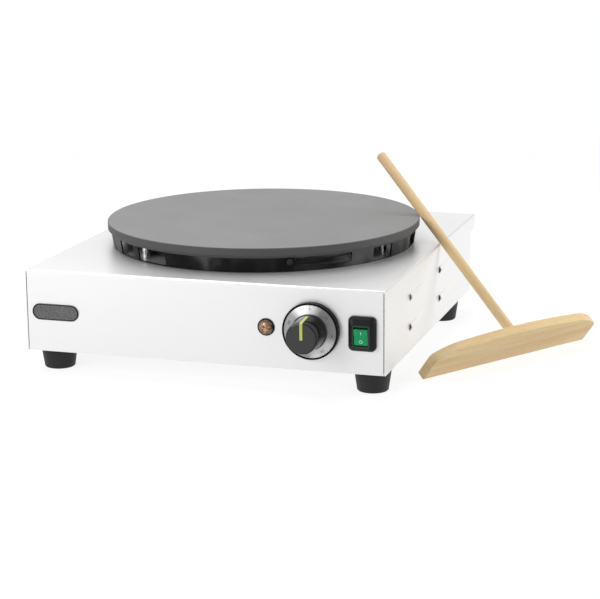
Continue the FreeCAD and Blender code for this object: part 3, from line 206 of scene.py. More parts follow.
def turned_rings_group():
    """Rings left by a lathe or a rotary brush round an axis along Y or Z through Centre."""
    tree, sketch, given, out = new_group(
        "Turned rings",
        [("Centre", "vector", (0, 0, 0)), ("Flatten", "vector", (1, 1, 0)),
         ("Rings per metre", "value", 900.0), ("Breakup", "value", 0.5)],
        [("Tone", "value"), ("Height", "value")],
    )
    place = sketch.add("ShaderNodeTexCoord").outputs["Object"]
    offset = sketch.vector("MULTIPLY", sketch.vector("SUBTRACT", place, given["Centre"]), given["Flatten"])
    radius = sketch.vector("LENGTH", offset)
    steps = sketch.maths("MULTIPLY", radius, given["Rings per metre"])
    values = {"W": steps, "Scale": 1.0, "Detail": 2.0}
    rings = sketch.add("ShaderNodeTexNoise", values, noise_dimensions="1D").outputs[0]
    patches = sketch.noise(offset, 26.0, detail=3.0)
    broken = sketch.maths("MULTIPLY", patches, given["Breakup"])
    tone = sketch.maths("ADD", sketch.maths("MULTIPLY", rings, 0.6), broken)
    sketch.feed(tone, out["Tone"])
    sketch.feed(rings, out["Height"])
    return tree


def fine_speckle_group():
    """Small grains, as on cast metal, rubber or a moulded face."""
    tree, sketch, given, out = new_group(
        "Fine speckle",
        [("Grains per metre", "value", 1500.0), ("Contrast", "value", 1.0)],
        [("Tone", "value"), ("Height", "value")],
    )
    place = sketch.add("ShaderNodeTexCoord").outputs["Object"]
    grains = sketch.noise(place, given["Grains per metre"], detail=3.0, roughness=0.7)
    centred = sketch.maths("SUBTRACT", grains, 0.5)
    tone = sketch.maths("MULTIPLY_ADD", centred, given["Contrast"], 0.5, clamp=True)
    sketch.feed(tone, out["Tone"])
    sketch.feed(grains, out["Height"])
    return tree


def handled_marks_group():
    """Soft clouds, hairline scratches and dust that looks up: what use leaves on a surface."""
    tree, sketch, given, out = new_group(
        "Handled marks",
        [("Cloud size", "value", 0.12), ("Scratch length", "value", 14.0)],
        [("Clouds", "value"), ("Scratches", "value"), ("Dust", "value")],
    )
    place = sketch.add("ShaderNodeTexCoord").outputs["Object"]
    cloud_scale = sketch.maths("DIVIDE", 1.0, given["Cloud size"])
    clouds = sketch.noise(place, cloud_scale, detail=3.0, roughness=0.55)
    sketch.feed(sketch.span(clouds, 0.32, 0.68, 0.0, 1.0), out["Clouds"])
    turned = sketch.add("ShaderNodeMapping", {"Vector": place, "Rotation": (0.2, 0.5, 0.8)}).outputs[0]
    hairs_per_metre = 1200.0
    scales = {0: given["Scratch length"], 1: hairs_per_metre, 2: hairs_per_metre}
    stretch = sketch.add("ShaderNodeCombineXYZ", scales).outputs[0]
    hair = sketch.noise(sketch.vector("MULTIPLY", turned, stretch), 1.0, detail=1.0)
    sketch.feed(sketch.span(hair, 0.70, 0.78, 0.0, 1.0), out["Scratches"])
    normal = sketch.add("ShaderNodeTexCoord").outputs["Normal"]
    looks_up = sketch.span(sketch.add("ShaderNodeSeparateXYZ", {0: normal}).outputs[2], 0.5, 1.0, 0.0, 1.0)
    specks_per_metre = 420.0
    specks = sketch.noise(place, specks_per_metre, detail=4.0, roughness=0.8)
    specks = sketch.span(specks, 0.56, 0.72, 0.0, 1.0)
    sketch.feed(sketch.maths("MULTIPLY", looks_up, specks), out["Dust"])
    return tree


def beech_grain_group():
    """Pale beech along Grain: slow bands, fine fibres, short dark flecks and a warm cast that wanders."""
    tree, sketch, given, out = new_group(
        "Beech grain",
        [("Foot", "vector", (0, 0, 0)), ("Grain", "vector", (1, 0, 0)), ("Across", "vector", (0, 1, 0)),
         ("Up", "vector", (0, 0, 1)), ("Pale", "colour", (1, 1, 1, 1)), ("Deep", "colour", (0, 0, 0, 1)),
         ("Warm", "colour", (1, 1, 1, 1)), ("Fleck", "colour", (0, 0, 0, 1))],
        [("Colour", "colour"), ("Height", "value"), ("Sheen", "value")],
    )
    place = sketch.add("ShaderNodeTexCoord").outputs["Object"]
    offset = sketch.vector("SUBTRACT", place, given["Foot"])
    ways = (given["Grain"], given["Across"], given["Up"])
    parts = {index: sketch.vector("DOT_PRODUCT", offset, way) for index, way in enumerate(ways)}
    board = sketch.add("ShaderNodeCombineXYZ", parts).outputs[0]

    def stretched(along, across):
        """The place in the board's own axes, scaled along and across the grain."""
        return sketch.vector("MULTIPLY", board, (along, across, across))

    bands = sketch.noise(stretched(3.0, 62.0), 1.0, detail=3.0, roughness=0.6, distortion=0.6)
    fibres = sketch.noise(stretched(22.0, 900.0), 1.0, detail=4.0, roughness=0.7)
    dashes = sketch.noise(stretched(170.0, 1100.0), 1.0, detail=1.0)
    drift = sketch.noise(stretched(5.0, 11.0), 1.0, detail=2.0)
    band_depth = sketch.span(bands, 0.35, 0.65, 0.0, 0.6)
    fibre_depth = sketch.span(fibres, 0.3, 0.7, 0.0, 0.5)
    depth = sketch.maths("ADD", band_depth, fibre_depth)
    wood = sketch.between(depth, given["Pale"], given["Deep"])
    warmer = sketch.between(0.5, wood, given["Warm"])
    warm = sketch.between(sketch.span(drift, 0.42, 0.7, 0.0, 0.75), wood, warmer)
    flecks = sketch.span(dashes, 0.66, 0.74, 0.0, 0.55)
    sketch.feed(sketch.between(flecks, warm, given["Fleck"]), out["Colour"])
    sketch.feed(sketch.maths("SUBTRACT", fibres, sketch.maths("MULTIPLY", flecks, 0.8)), out["Height"])
    sheen = sketch.maths("ADD", sketch.maths("MULTIPLY", fibres, 0.5), sketch.maths("MULTIPLY", bands, 0.5))
    sketch.feed(sheen, out["Sheen"])
    return tree


BRUSHED = brushed_lines_group()
TURNED = turned_rings_group()
SPECKLE = fine_speckle_group()
HANDLED = handled_marks_group()
BEECH = beech_grain_group()


def grey(level):
    """An opaque grey."""
    return (level, level, level, 1.0)


def new_material(name, **constants):
    """A material with one Principled shader. Underscores in the names of its constants stand for spaces."""
    material = bpy.data.materials.new(name)
    material.use_nodes = True
    sketch = Sketch(material.node_tree)
    shader = material.node_tree.nodes["Principled BSDF"]
    for socket_name, value in constants.items():
        shader.inputs[socket_name.replace("_", " ")].default_value = value
    return material, sketch, shader.inputs


def raise_height(sketch, shader, height, distance, strength=1.0):
    """Feeds a height through a Bump node into the shader's Normal."""
    bump = sketch.add("ShaderNodeBump", {"Height": height, "Distance": distance, "Strength": strength})
    sketch.feed(bump.outputs["Normal"], shader["Normal"])


def stainless_material():
    """Brushed sheet of the housing, with painted shade on the bend under its top edge."""
    material, sketch, shader = new_material("stainless brushed", Metallic=0.55)
    lines = sketch.group(BRUSHED, Length=7.0, Fineness=1400.0).outputs
    marks = sketch.group(HANDLED, Cloud_size=0.16, Scratch_length=9.0).outputs
    colour = sketch.between(lines["Tone"], grey(0.83), grey(0.88))
    smudged = sketch.between(sketch.maths("MULTIPLY", marks["Clouds"], 0.3), colour, grey(0.83))
    # Painted shade: the rounded bend just under the top edge is painted darker grey, to tone down the light
    # it catches.
    normal = sketch.add("ShaderNodeTexCoord").outputs["Normal"]
    lift = sketch.add("ShaderNodeSeparateXYZ", {0: normal}).outputs[2]
    slope = sketch.maths("MULTIPLY", lift, sketch.maths("SUBTRACT", 1.0, lift))
    place = sketch.add("ShaderNodeTexCoord").outputs["Object"]
    level = sketch.add("ShaderNodeSeparateXYZ", {0: place}).outputs[2]
    bend_start = panel_top - 6 * MM
    bend_end = panel_top - 3 * MM
    near_top = sketch.span(level, bend_start, bend_end, 0.0, 1.0)
    painted_bend_shade = sketch.maths("MULTIPLY", sketch.span(slope, 0.06, 0.20, 0.0, 1.0), near_top)
    sketch.feed(sketch.between(painted_bend_shade, smudged, grey(0.66)), shader["Base Color"])
    rough = sketch.maths("MULTIPLY_ADD", lines["Tone"], 0.06, 0.30)
    rough = sketch.maths("MULTIPLY_ADD", marks["Clouds"], 0.04, rough)
    sketch.feed(sketch.maths("MULTIPLY_ADD", marks["Scratches"], 0.06, rough), shader["Roughness"])
    raise_height(sketch, shader, lines["Height"], 0.00001, 0.12)
    return material


def galvanised_material():
    """Dull zinc-coated sheet with faint spangle."""
    material, sketch, shader = new_material("galvanised sheet", Metallic=1.0)
    place = sketch.add("ShaderNodeTexCoord").outputs["Object"]
    spangle = sketch.add("ShaderNodeTexVoronoi", {"Vector": place, "Scale": 130.0}).outputs["Color"]
    level = sketch.add("ShaderNodeRGBToBW", {0: spangle}).outputs[0]
    sketch.feed(sketch.between(level, (0.50, 0.51, 0.52, 1), (0.66, 0.67, 0.68, 1)), shader["Base Color"])
    sketch.feed(sketch.span(level, 0.0, 1.0, 0.42, 0.58), shader["Roughness"])
    return material


def cast_plate_material():
    """Fine-turned cast iron, satin grey on top, with painted shade on the edge: its sides are painted far
    darker than the top, as they take less light.
    """
    material, sketch, shader = new_material("cast plate", Specular_IOR_Level=0.18)
    rings = sketch.group(
        TURNED, Centre=tuple(plate_centre), Flatten=(1, 1, 0), Rings_per_metre=520.0, Breakup=0.4
    ).outputs
    grains = sketch.group(SPECKLE, Grains_per_metre=1300.0, Contrast=1.4).outputs
    marks = sketch.group(HANDLED, Cloud_size=0.09, Scratch_length=16.0).outputs
    face = sketch.between(grains["Tone"], grey(0.25), grey(0.325))
    face = sketch.between(sketch.maths("MULTIPLY", rings["Tone"], 0.3), face, grey(0.22))
    face = sketch.between(sketch.maths("MULTIPLY", marks["Clouds"], 0.4), face, grey(0.31))
    normal = sketch.add("ShaderNodeTexCoord").outputs["Normal"]
    up = sketch.add("ShaderNodeSeparateXYZ", {0: normal}).outputs[2]
    # Painted shade: faces that look sideways get a much darker colour than the top.
    on_top = sketch.span(up, 0.55, 0.9, 0.0, 1.0)
    edge_painted_shade = sketch.between(grains["Tone"], grey(0.070), grey(0.095))
    sketch.feed(sketch.between(on_top, edge_painted_shade, face), shader["Base Color"])
    rough = sketch.maths("MULTIPLY_ADD", grains["Tone"], 0.12, 0.50)
    sketch.feed(sketch.maths("MULTIPLY_ADD", marks["Clouds"], -0.06, rough), shader["Roughness"])
    height = sketch.maths("ADD", grains["Height"], sketch.maths("MULTIPLY", rings["Height"], 0.5))
    raise_height(sketch, shader, height, 0.00008, 0.5)
    return material


def enamel_material():
    """Satin black heat-proof paint."""
    material, sketch, shader = new_material("black enamel", Coat_Roughness=0.08, Specular_IOR_Level=0.05)
    grains = sketch.group(SPECKLE, Grains_per_metre=900.0, Contrast=1.0).outputs
    marks = sketch.group(HANDLED, Cloud_size=0.05, Scratch_length=20.0).outputs
    colour = sketch.between(grains["Tone"], grey(0.004), grey(0.009))
    dulled = sketch.maths("MULTIPLY", marks["Clouds"], 0.5)
    sketch.feed(sketch.between(dulled, colour, grey(0.02)), shader["Base Color"])
    sketch.feed(sketch.maths("MULTIPLY_ADD", grains["Tone"], 0.15, 0.28), shader["Roughness"])
    sketch.feed(sketch.span(marks["Clouds"], 0.35, 1.0, 0.0, 0.6), shader["Coat Weight"])
    raise_height(sketch, shader, grains["Height"], 0.00005, 0.4)
    return material


def rubber_material(name, dark, light, grains_per_metre, roughness, gloss=0.3):
    """Moulded rubber with a fine matte skin and a little dust."""
    material, sketch, shader = new_material(name, Specular_IOR_Level=gloss)
    grains = sketch.group(SPECKLE, Grains_per_metre=grains_per_metre, Contrast=1.2).outputs
    marks = sketch.group(HANDLED, Cloud_size=0.02, Scratch_length=40.0).outputs
    colour = sketch.between(grains["Tone"], grey(dark), grey(light))
    dusty = sketch.maths("MULTIPLY", marks["Dust"], 0.10)
    sketch.feed(sketch.between(dusty, colour, grey(0.25)), shader["Base Color"])
    sketch.feed(sketch.maths("MULTIPLY_ADD", grains["Tone"], 0.2, roughness), shader["Roughness"])
    raise_height(sketch, shader, grains["Height"], 0.00006, 0.6)
    return material


def moulding_material(name, dark, light, roughness, coat=0.0, gloss=0.25):
    """Moulded plastic: an even colour with a faint skin texture."""
    material, sketch, shader = new_material(name, Coat_Roughness=0.12, Specular_IOR_Level=gloss)
    grains = sketch.group(SPECKLE, Grains_per_metre=1600.0, Contrast=1.0).outputs
    marks = sketch.group(HANDLED, Cloud_size=0.03, Scratch_length=30.0).outputs
    sketch.feed(sketch.between(grains["Tone"], dark, light), shader["Base Color"])
    rough = sketch.maths("MULTIPLY_ADD", grains["Tone"], 0.08, roughness)
    sketch.feed(sketch.maths("MULTIPLY_ADD", marks["Clouds"], 0.05, rough), shader["Roughness"])
    if coat:
        worn = sketch.maths("MULTIPLY_ADD", marks["Scratches"], -0.1, coat, clamp=True)
        sketch.feed(worn, shader["Coat Weight"])
    raise_height(sketch, shader, grains["Height"], 0.00003, 0.3)
    return material


def knob_material():
    """Gloss black knob whose flat face is rubbed to satin grey."""
    material, sketch, shader = new_material("knob black", Coat_Roughness=0.06, Specular_IOR_Level=0.08)
    grains = sketch.group(SPECKLE, Grains_per_metre=1800.0, Contrast=1.0).outputs
    normal = sketch.add("ShaderNodeTexCoord").outputs["Normal"]
    forward = sketch.maths("MULTIPLY", sketch.add("ShaderNodeSeparateXYZ", {0: normal}).outputs[1], -1.0)
    face = sketch.span(forward, 0.9, 0.99, 0.0, 1.0)
    side = sketch.between(grains["Tone"], grey(0.003), grey(0.006))
    satin = sketch.between(grains["Tone"], grey(0.055), grey(0.085))
    sketch.feed(sketch.between(face, side, satin), shader["Base Color"])
    sketch.feed(sketch.maths("MULTIPLY_ADD", face, 0.32, 0.16), shader["Roughness"])
    sketch.feed(sketch.maths("MULTIPLY_ADD", face, -0.3, 0.3), shader["Coat Weight"])
    raise_height(sketch, shader, grains["Height"], 0.00003, 0.3)
    return material


def scale_disc_material():
    """Aluminium disc brushed in rings. Its colour is lighter in fans, painted highlights where such brushing
    gathers light.
    """
    material, sketch, shader = new_material(
        "scale disc", Metallic=1.0, Anisotropic=0.8, Anisotropic_Rotation=0.25
    )
    rings = sketch.group(
        TURNED, Centre=tuple(dial_centre), Flatten=(1, 0, 1), Rings_per_metre=3500.0, Breakup=0.3
    ).outputs
    grains = sketch.group(SPECKLE, Grains_per_metre=2200.0, Contrast=1.6).outputs
    tone = sketch.maths("MULTIPLY_ADD", grains["Tone"], 0.5, sketch.maths("MULTIPLY", rings["Tone"], 0.5))
    place = sketch.add("ShaderNodeTexCoord").outputs["Object"]
    offset = sketch.vector("MULTIPLY", sketch.vector("SUBTRACT", place, tuple(dial_centre)), (1, 0, 1))
    spoke = sketch.vector("NORMALIZE", offset)
    # Painted highlight: the fans are summed by angle round the disc's centre.
    painted_highlight_fans = 0.0
    for angle, strength in PAINTED_HIGHLIGHT_FANS:
        lean = math.radians(angle)
        toward = sketch.vector("DOT_PRODUCT", spoke, (math.sin(lean), 0, math.cos(lean)))
        painted_highlight_fans = sketch.maths("ADD", painted_highlight_fans, sketch.span(toward, 0.76, 0.94, 0.0, strength))
    # Painted highlight: the colour turns from dull to bright inside the fans.
    dull = sketch.between(tone, grey(0.20), grey(0.46))
    bright = sketch.between(tone, grey(0.66), grey(0.96))
    sketch.feed(sketch.between(painted_highlight_fans, dull, bright), shader["Base Color"])
    sketch.feed(sketch.maths("MULTIPLY_ADD", rings["Tone"], 0.12, 0.44), shader["Roughness"])
    tangent = sketch.add("ShaderNodeTangent", direction_type="RADIAL", axis="Y")
    sketch.feed(tangent.outputs[0], shader["Tangent"])
    raise_height(sketch, shader, rings["Height"], 0.00002, 0.4)
    return material


def plain_metal_material(name, dark, light, roughness):
    """Turned or plated metal of small parts."""
    material, sketch, shader = new_material(name, Metallic=1.0)
    grains = sketch.group(SPECKLE, Grains_per_metre=1200.0, Contrast=1.3).outputs
    marks = sketch.group(HANDLED, Cloud_size=0.012, Scratch_length=60.0).outputs
    colour = sketch.between(grains["Tone"], dark, light)
    dulled = sketch.maths("MULTIPLY", marks["Clouds"], 0.35)
    sketch.feed(sketch.between(dulled, colour, dark), shader["Base Color"])
    sketch.feed(sketch.maths("MULTIPLY_ADD", marks["Clouds"], 0.14, roughness), shader["Roughness"])
    raise_height(sketch, shader, grains["Height"], 0.00002, 0.3)
    return material


def heater_material():
    """Heater sheath, oxidised from grey to straw and brown."""
    material, sketch, shader = new_material("heater sheath", Metallic=1.0)
    marks = sketch.group(HANDLED, Cloud_size=0.03, Scratch_length=30.0).outputs
    grains = sketch.group(SPECKLE, Grains_per_metre=900.0, Contrast=1.2).outputs
    oxide = sketch.between(marks["Clouds"], (0.20, 0.19, 0.18, 1), (0.33, 0.27, 0.20, 1))
    bare = sketch.maths("MULTIPLY", grains["Tone"], 0.3)
    sketch.feed(sketch.between(bare, oxide, grey(0.45)), shader["Base Color"])
    sketch.feed(sketch.span(marks["Clouds"], 0.0, 1.0, 0.30, 0.5), shader["Roughness"])
    return material


def fibre_material():
    """Pressed ceramic fibre, in dull dark colours that are painted shade for where it lies under the plate.
    """
    material, sketch, shader = new_material("ceramic fibre", Specular_IOR_Level=0.1, Roughness=0.95)
    place = sketch.add("ShaderNodeTexCoord").outputs["Object"]
    fluff = sketch.noise(place, 260.0, detail=6.0, roughness=0.75, distortion=1.5)
    # Painted shade: the fibre's colours are kept dark for the shade under the plate.
    sketch.feed(sketch.between(fluff, (0.30, 0.27, 0.22, 1), (0.48, 0.45, 0.39, 1)), shader["Base Color"])
    raise_height(sketch, shader, fluff, 0.0006, 0.8)
    return material


def badge_material():
    """Dark plate with a coarse metallic speckle."""
    material, sketch, shader = new_material("badge face", Metallic=0.5)
    coarse = sketch.group(SPECKLE, Grains_per_metre=1100.0, Contrast=3.0).outputs
    sketch.feed(sketch.between(coarse["Tone"], grey(0.03), grey(0.20)), shader["Base Color"])
    sketch.feed(sketch.maths("MULTIPLY_ADD", coarse["Tone"], 0.2, 0.35), shader["Roughness"])
    raise_height(sketch, shader, coarse["Height"], 0.00008, 0.6)
    return material


def lens_material():
    """Amber plastic with small facets inside. Its colour is painted light: a mottle of light and brown spots
    stands for the facets' glints and shade, and painted shade darkens it towards the rim.
    """
    material, sketch, shader = new_material(
        "amber lens", Transmission_Weight=0.25, IOR=1.49, Metallic=0.0, Coat_Weight=0.6, Coat_Roughness=0.05
    )
    place = sketch.add("ShaderNodeTexCoord").outputs["Object"]
    facets_per_metre = 420.0
    facets = sketch.add("ShaderNodeTexVoronoi", {"Vector": place, "Scale": facets_per_metre}).outputs
    level = sketch.add("ShaderNodeRGBToBW", {0: facets["Color"]}).outputs[0]
    # Painted shade: the colour darkens towards the rim of the lens.
    offset = sketch.vector("SUBTRACT", place, tuple(lamp_centre))
    flat = sketch.vector("MULTIPLY", offset, (1, 0, 1))
    rim_painted_shade = sketch.span(sketch.vector("LENGTH", flat), 2.5 * MM, 8.5 * MM, 0.0, 1.0)
    # Painted light: the facets' glints and shade are painted as light and dark spots.
    facet_painted_light = sketch.span(level, 0.25, 0.75, 0.0, 1.0)
    colour = sketch.between(facet_painted_light, (0.10, 0.036, 0.014, 1), (1.0, 0.50, 0.23, 1))
    brown = sketch.between(sketch.maths("MULTIPLY", rim_painted_shade, 0.85), colour, (0.07, 0.035, 0.018, 1))
    sketch.feed(brown, shader["Base Color"])
    sketch.feed(sketch.maths("MULTIPLY_ADD", level, 0.15, 0.12), shader["Roughness"])
    raise_height(sketch, shader, facets["Distance"], 0.0003, 0.35)
    return material


def rocker_material():
    """Green plastic with soft lighter clouds."""
    material, sketch, shader = new_material("rocker green", Specular_IOR_Level=0.25)
    marks = sketch.group(HANDLED, Cloud_size=0.008, Scratch_length=60.0).outputs
    grains = sketch.group(SPECKLE, Grains_per_metre=1500.0, Contrast=1.0).outputs
    colour = sketch.between(marks["Clouds"], (0.002, 0.30, 0.10, 1), (0.006, 0.42, 0.15, 1))
    sketch.feed(colour, shader["Base Color"])
    sketch.feed(sketch.maths("MULTIPLY_ADD", grains["Tone"], 0.1, 0.2), shader["Roughness"])
    return material


def print_material(name, colour, roughness=0.6):
    """Ink or paint on a finished face."""
    material, sketch, shader = new_material(name)
    grains = sketch.group(SPECKLE, Grains_per_metre=2500.0, Contrast=1.0).outputs
    faded = tuple(channel * 0.85 for channel in colour[:3]) + (1.0,)
    sketch.feed(sketch.between(grains["Tone"], faded, colour), shader["Base Color"])
    sketch.feed(sketch.maths("MULTIPLY_ADD", grains["Tone"], 0.1, roughness), shader["Roughness"])
    return material


def sleeve_material(name, colour, stripe=None):
    """Woven sleeve of an inside wire, plain or with a stripe."""
    material, sketch, shader = new_material(name, Specular_IOR_Level=0.3)
    place = sketch.add("ShaderNodeTexCoord").outputs["Object"]
    weave = sketch.add(
        "ShaderNodeTexWave", {"Vector": place, "Scale": 220.0, "Distortion": 1.0}, bands_direction="DIAGONAL"
    ).outputs["Fac"]
    darker = tuple(channel * 0.7 for channel in colour[:3]) + (1.0,)
    base = sketch.between(weave, darker, colour)
    if stripe:
        stripes_per_metre = 450.0
        level = sketch.add("ShaderNodeSeparateXYZ", {0: place}).outputs[2]
        through_stripe = sketch.maths("FRACT", sketch.maths("MULTIPLY", level, stripes_per_metre))
        base = sketch.between(sketch.maths("GREATER_THAN", through_stripe, 0.6), base, stripe)
    sketch.feed(base, shader["Base Color"])
    sketch.feed(sketch.maths("MULTIPLY_ADD", weave, 0.15, 0.5), shader["Roughness"])
    return material


def beech_material(name, grain, across, up):
    """Unfinished beech whose grain follows the piece."""
    material, sketch, shader = new_material(name, Specular_IOR_Level=0.3)
    wood = sketch.group(
        BEECH, Foot=tuple(middle_of("spreader_blade")),
        Grain=tuple(grain), Across=tuple(across), Up=tuple(up),
        Pale=(0.95, 0.76, 0.45, 1), Deep=(0.72, 0.50, 0.23, 1),
        Warm=(0.90, 0.62, 0.40, 1), Fleck=(0.52, 0.34, 0.15, 1),
    ).outputs
    sketch.feed(wood["Colour"], shader["Base Color"])
    sketch.feed(sketch.maths("MULTIPLY_ADD", wood["Sheen"], 0.2, 0.48), shader["Roughness"])
    raise_height(sketch, shader, wood["Height"], 0.00006, 0.5)
    return material


def dress(node, material):
    """Gives a node's own mesh a material in place of the plain one."""
    mesh = nodes[node].data
    mesh.materials.clear()
    mesh.materials.append(material)


def dress_all():
    """Materials of every node of the frame."""
    along_blade, along_handle, up_blade = spreader_axes()
    stainless = stainless_material()
    galvanised = galvanised_material()
    bright = plain_metal_material("bright zinc", (0.55, 0.56, 0.58, 1), (0.82, 0.83, 0.84, 1), 0.2)
    foot_rubber = rubber_material("foot rubber", 0.010, 0.022, 900.0, 0.42)
    boot_rubber = rubber_material("boot rubber", 0.005, 0.012, 1500.0, 0.22, gloss=0.14)
    enamel = enamel_material()
    brass = plain_metal_material("brass", (0.62, 0.44, 0.18, 1), (0.82, 0.64, 0.32, 1), 0.25)
    copper = plain_metal_material("copper", (0.55, 0.26, 0.14, 1), (0.80, 0.44, 0.28, 1), 0.28)
    spindle = plain_metal_material("turned steel", grey(0.45), grey(0.66), 0.22)
    # Painted shade: the reflector pan is given a near-black steel colour, so that the inside seen through
    # the skirt's windows stays dark.
    reflector = plain_metal_material("reflector steel", grey(0.05), grey(0.10), 0.5)
    blackened = plain_metal_material("blackened steel", grey(0.015), grey(0.05), 0.3)
    dark = moulding_material("dark moulding", grey(0.018), grey(0.032), 0.45)
    white = moulding_material("white moulding", (0.66, 0.65, 0.60, 1), (0.80, 0.79, 0.75, 1), 0.4)
    gloss = moulding_material("gloss black", grey(0.003), grey(0.006), 0.2, coat=0.05, gloss=0.02)
    heater = heater_material()
    wire_brown = sleeve_material("wire brown", (0.22, 0.09, 0.04, 1))
    wire_white = sleeve_material("wire white", (0.78, 0.76, 0.70, 1))
    finishes = {
        stainless: ("housing_shell", "rear_panel"),
        galvanised: ("base_plate", "clamp_plate", "bulb_saddle"),
        bright: ("rear_screws", "base_screws", "foot_screws", "foot_nuts", "plate_studs", "stud_spacers",
                 "stud_nuts", "clamp_bolt", "thermostat_screws"),
        blackened: ("skirt_screws",),
        foot_rubber: ("foot_front_left", "foot_front_right", "foot_rear_left", "foot_rear_right"),
        boot_rubber: ("switch_boot",),
        enamel: ("skirt_ring", "skirt_brackets"),
        cast_plate_material(): ("cooking_plate",),
        heater: ("element_inner", "element_outer"),
        reflector: ("reflector_pan",),
        fibre_material(): ("insulation_pad",),
        copper: ("sensing_bulb", "capillary_tube"),
        brass: ("thermostat_tabs", "switch_tabs", "terminal_screws", "earth_stud"),
        spindle: ("knob_spindle", "switch_pin"),
        dark: ("thermostat_body", "switch_body", "lamp_body", "lamp_nut", "cable_gland", "gland_nut",
               "safety_cutout"),
        white: ("terminal_block",),
        gloss: ("dial_ring", "lamp_bezel"),
        scale_disc_material(): ("dial_scale",),
        knob_material(): ("knob",),
        print_material("pointer paint", (0.62, 0.70, 0.13, 1), 0.4): ("knob_pointer",),
        rocker_material(): ("switch_rocker",),
        lens_material(): ("lamp_lens",),
        badge_material(): ("badge_plate",),
        wire_brown: ("wire_live", "wire_switched"),
        sleeve_material("wire blue", (0.05, 0.13, 0.42, 1)): ("wire_neutral",),
        sleeve_material("wire green", (0.10, 0.40, 0.08, 1), (0.80, 0.66, 0.06, 1)): ("wire_earth",),
        wire_white: ("wire_heater", "wire_element", "wire_bridge"),
        beech_material("beech blade", along_blade, along_handle, up_blade): ("spreader_blade",),
        beech_material("beech handle", along_handle, along_blade, up_blade): ("spreader_handle",),
    }
    for material, names in finishes.items():
        for name in names:
            dress(name, material)


def new_piece(name, mesh, material, body, smooth=True):
    """Links a mesh as a piece that rides on a body."""
    piece = bpy.data.objects.new(name, mesh)
    bpy.context.scene.collection.objects.link(piece)
    mesh.materials.clear()
    mesh.materials.append(material)
    for face in mesh.polygons:
        face.use_smooth = smooth
    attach(piece, body)


def rounded_rectangle(width, height, radius, steps=8):
    """Points of a rectangle with round corners, anticlockwise from the lower right."""
    points = []
    for corner in range(4):
        sign_x = 1 if corner in (0, 1) else -1
        sign_z = 1 if corner in (1, 2) else -1
        centre_x = sign_x * (width / 2 - radius)
        centre_z = sign_z * (height / 2 - radius)
        for step in range(steps + 1):
            angle = math.radians(-90 + 90 * corner + 90 * step / steps)
            points.append((centre_x + radius * math.cos(angle), centre_z + radius * math.sin(angle)))
    return points


def skin_of_rings(name, rings):
    """A mesh that joins closed rings with the same number of points."""
    work = bmesh.new()
    rows = [[work.verts.new(point) for point in ring] for ring in rings]
    count = len(rows[0])
    for first, second in zip(rows, rows[1:]):
        for index in range(count):
            following = (index + 1) % count
            work.faces.new((first[index], first[following], second[following], second[index]))
    bmesh.ops.recalc_face_normals(work, faces=work.faces)
    mesh = bpy.data.meshes.new(name)
    work.to_mesh(mesh)
    work.free()
    return mesh


def bead_round(outline, middle, level, thickness, sides=10):
    """A closed round bead that follows an outline in a plane square to Y."""
    rings = []
    for side in range(sides + 1):
        angle = 2 * math.pi * side / sides
        grow = thickness * math.cos(angle)
        out = thickness * math.sin(angle)
        ring = []
        count = len(outline)
        for index, (x, z) in enumerate(outline):
            before = outline[index - 1]
            after = outline[(index + 1) % count]
            way = Vector((after[0] - before[0], after[1] - before[1])).normalized()
            ring.append(Vector((middle.x + x + way.y * grow, level - out, middle.z + z - way.x * grow)))
        rings.append(ring)
    return rings


def badge_rim(ink):
    """The black bead round the badge."""
    thickness = 0.8 * MM
    low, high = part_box("badge_plate")
    width = high.x - low.x - 2 * thickness
    height = high.z - low.z - 2 * thickness
    outline = rounded_rectangle(width, height, height / 2 - 0.05 * MM, steps=16)
    rings = bead_round(outline, badge_centre, low.y, thickness)
    mesh = skin_of_rings("badge_rim", rings)
    new_piece("badge_rim", mesh, ink, "housing")


def numeral(text, size, thickness, place, turn, material, body, name):
    """A flat printed number that faces the front, turned about Y."""
    letters = bpy.data.curves.new(name + "_outline", "FONT")
    letters.body = text
    letters.size = size
    letters.extrude = thickness
    letters.align_x = "CENTER"
    letters.align_y = "CENTER"
    holder = bpy.data.objects.new(name + "_outline", letters)
    bpy.context.scene.collection.objects.link(holder)
    bpy.context.view_layer.update()
    mesh = bpy.data.meshes.new_from_object(holder.evaluated_get(bpy.context.evaluated_depsgraph_get()))
    bpy.data.objects.remove(holder)
    upright = Matrix.Rotation(math.radians(90), 4, "X")
    rolled = Matrix.Rotation(turn, 4, "Y")
    mesh.transform(Matrix.Translation(place) @ rolled @ upright)
    new_piece(name, mesh, material, body, smooth=False)


def flat_bar(work, centre, along, across, length, width, thickness):
    """Adds a thin bar that faces the front to a mesh being made."""
    corners = []
    for depth in (0, thickness):
        for sign_l, sign_w in ((-1, -1), (1, -1), (1, 1), (-1, 1)):
            offset = along * (sign_l * length / 2) + across * (sign_w * width / 2)
            corners.append(work.verts.new(centre + offset - Vector((0, depth, 0))))
    for face in ((0, 1, 2, 3), (7, 6, 5, 4), (0, 4, 5, 1), (1, 5, 6, 2), (2, 6, 7, 3), (3, 7, 4, 0)):
        work.faces.new([corners[index] for index in face])


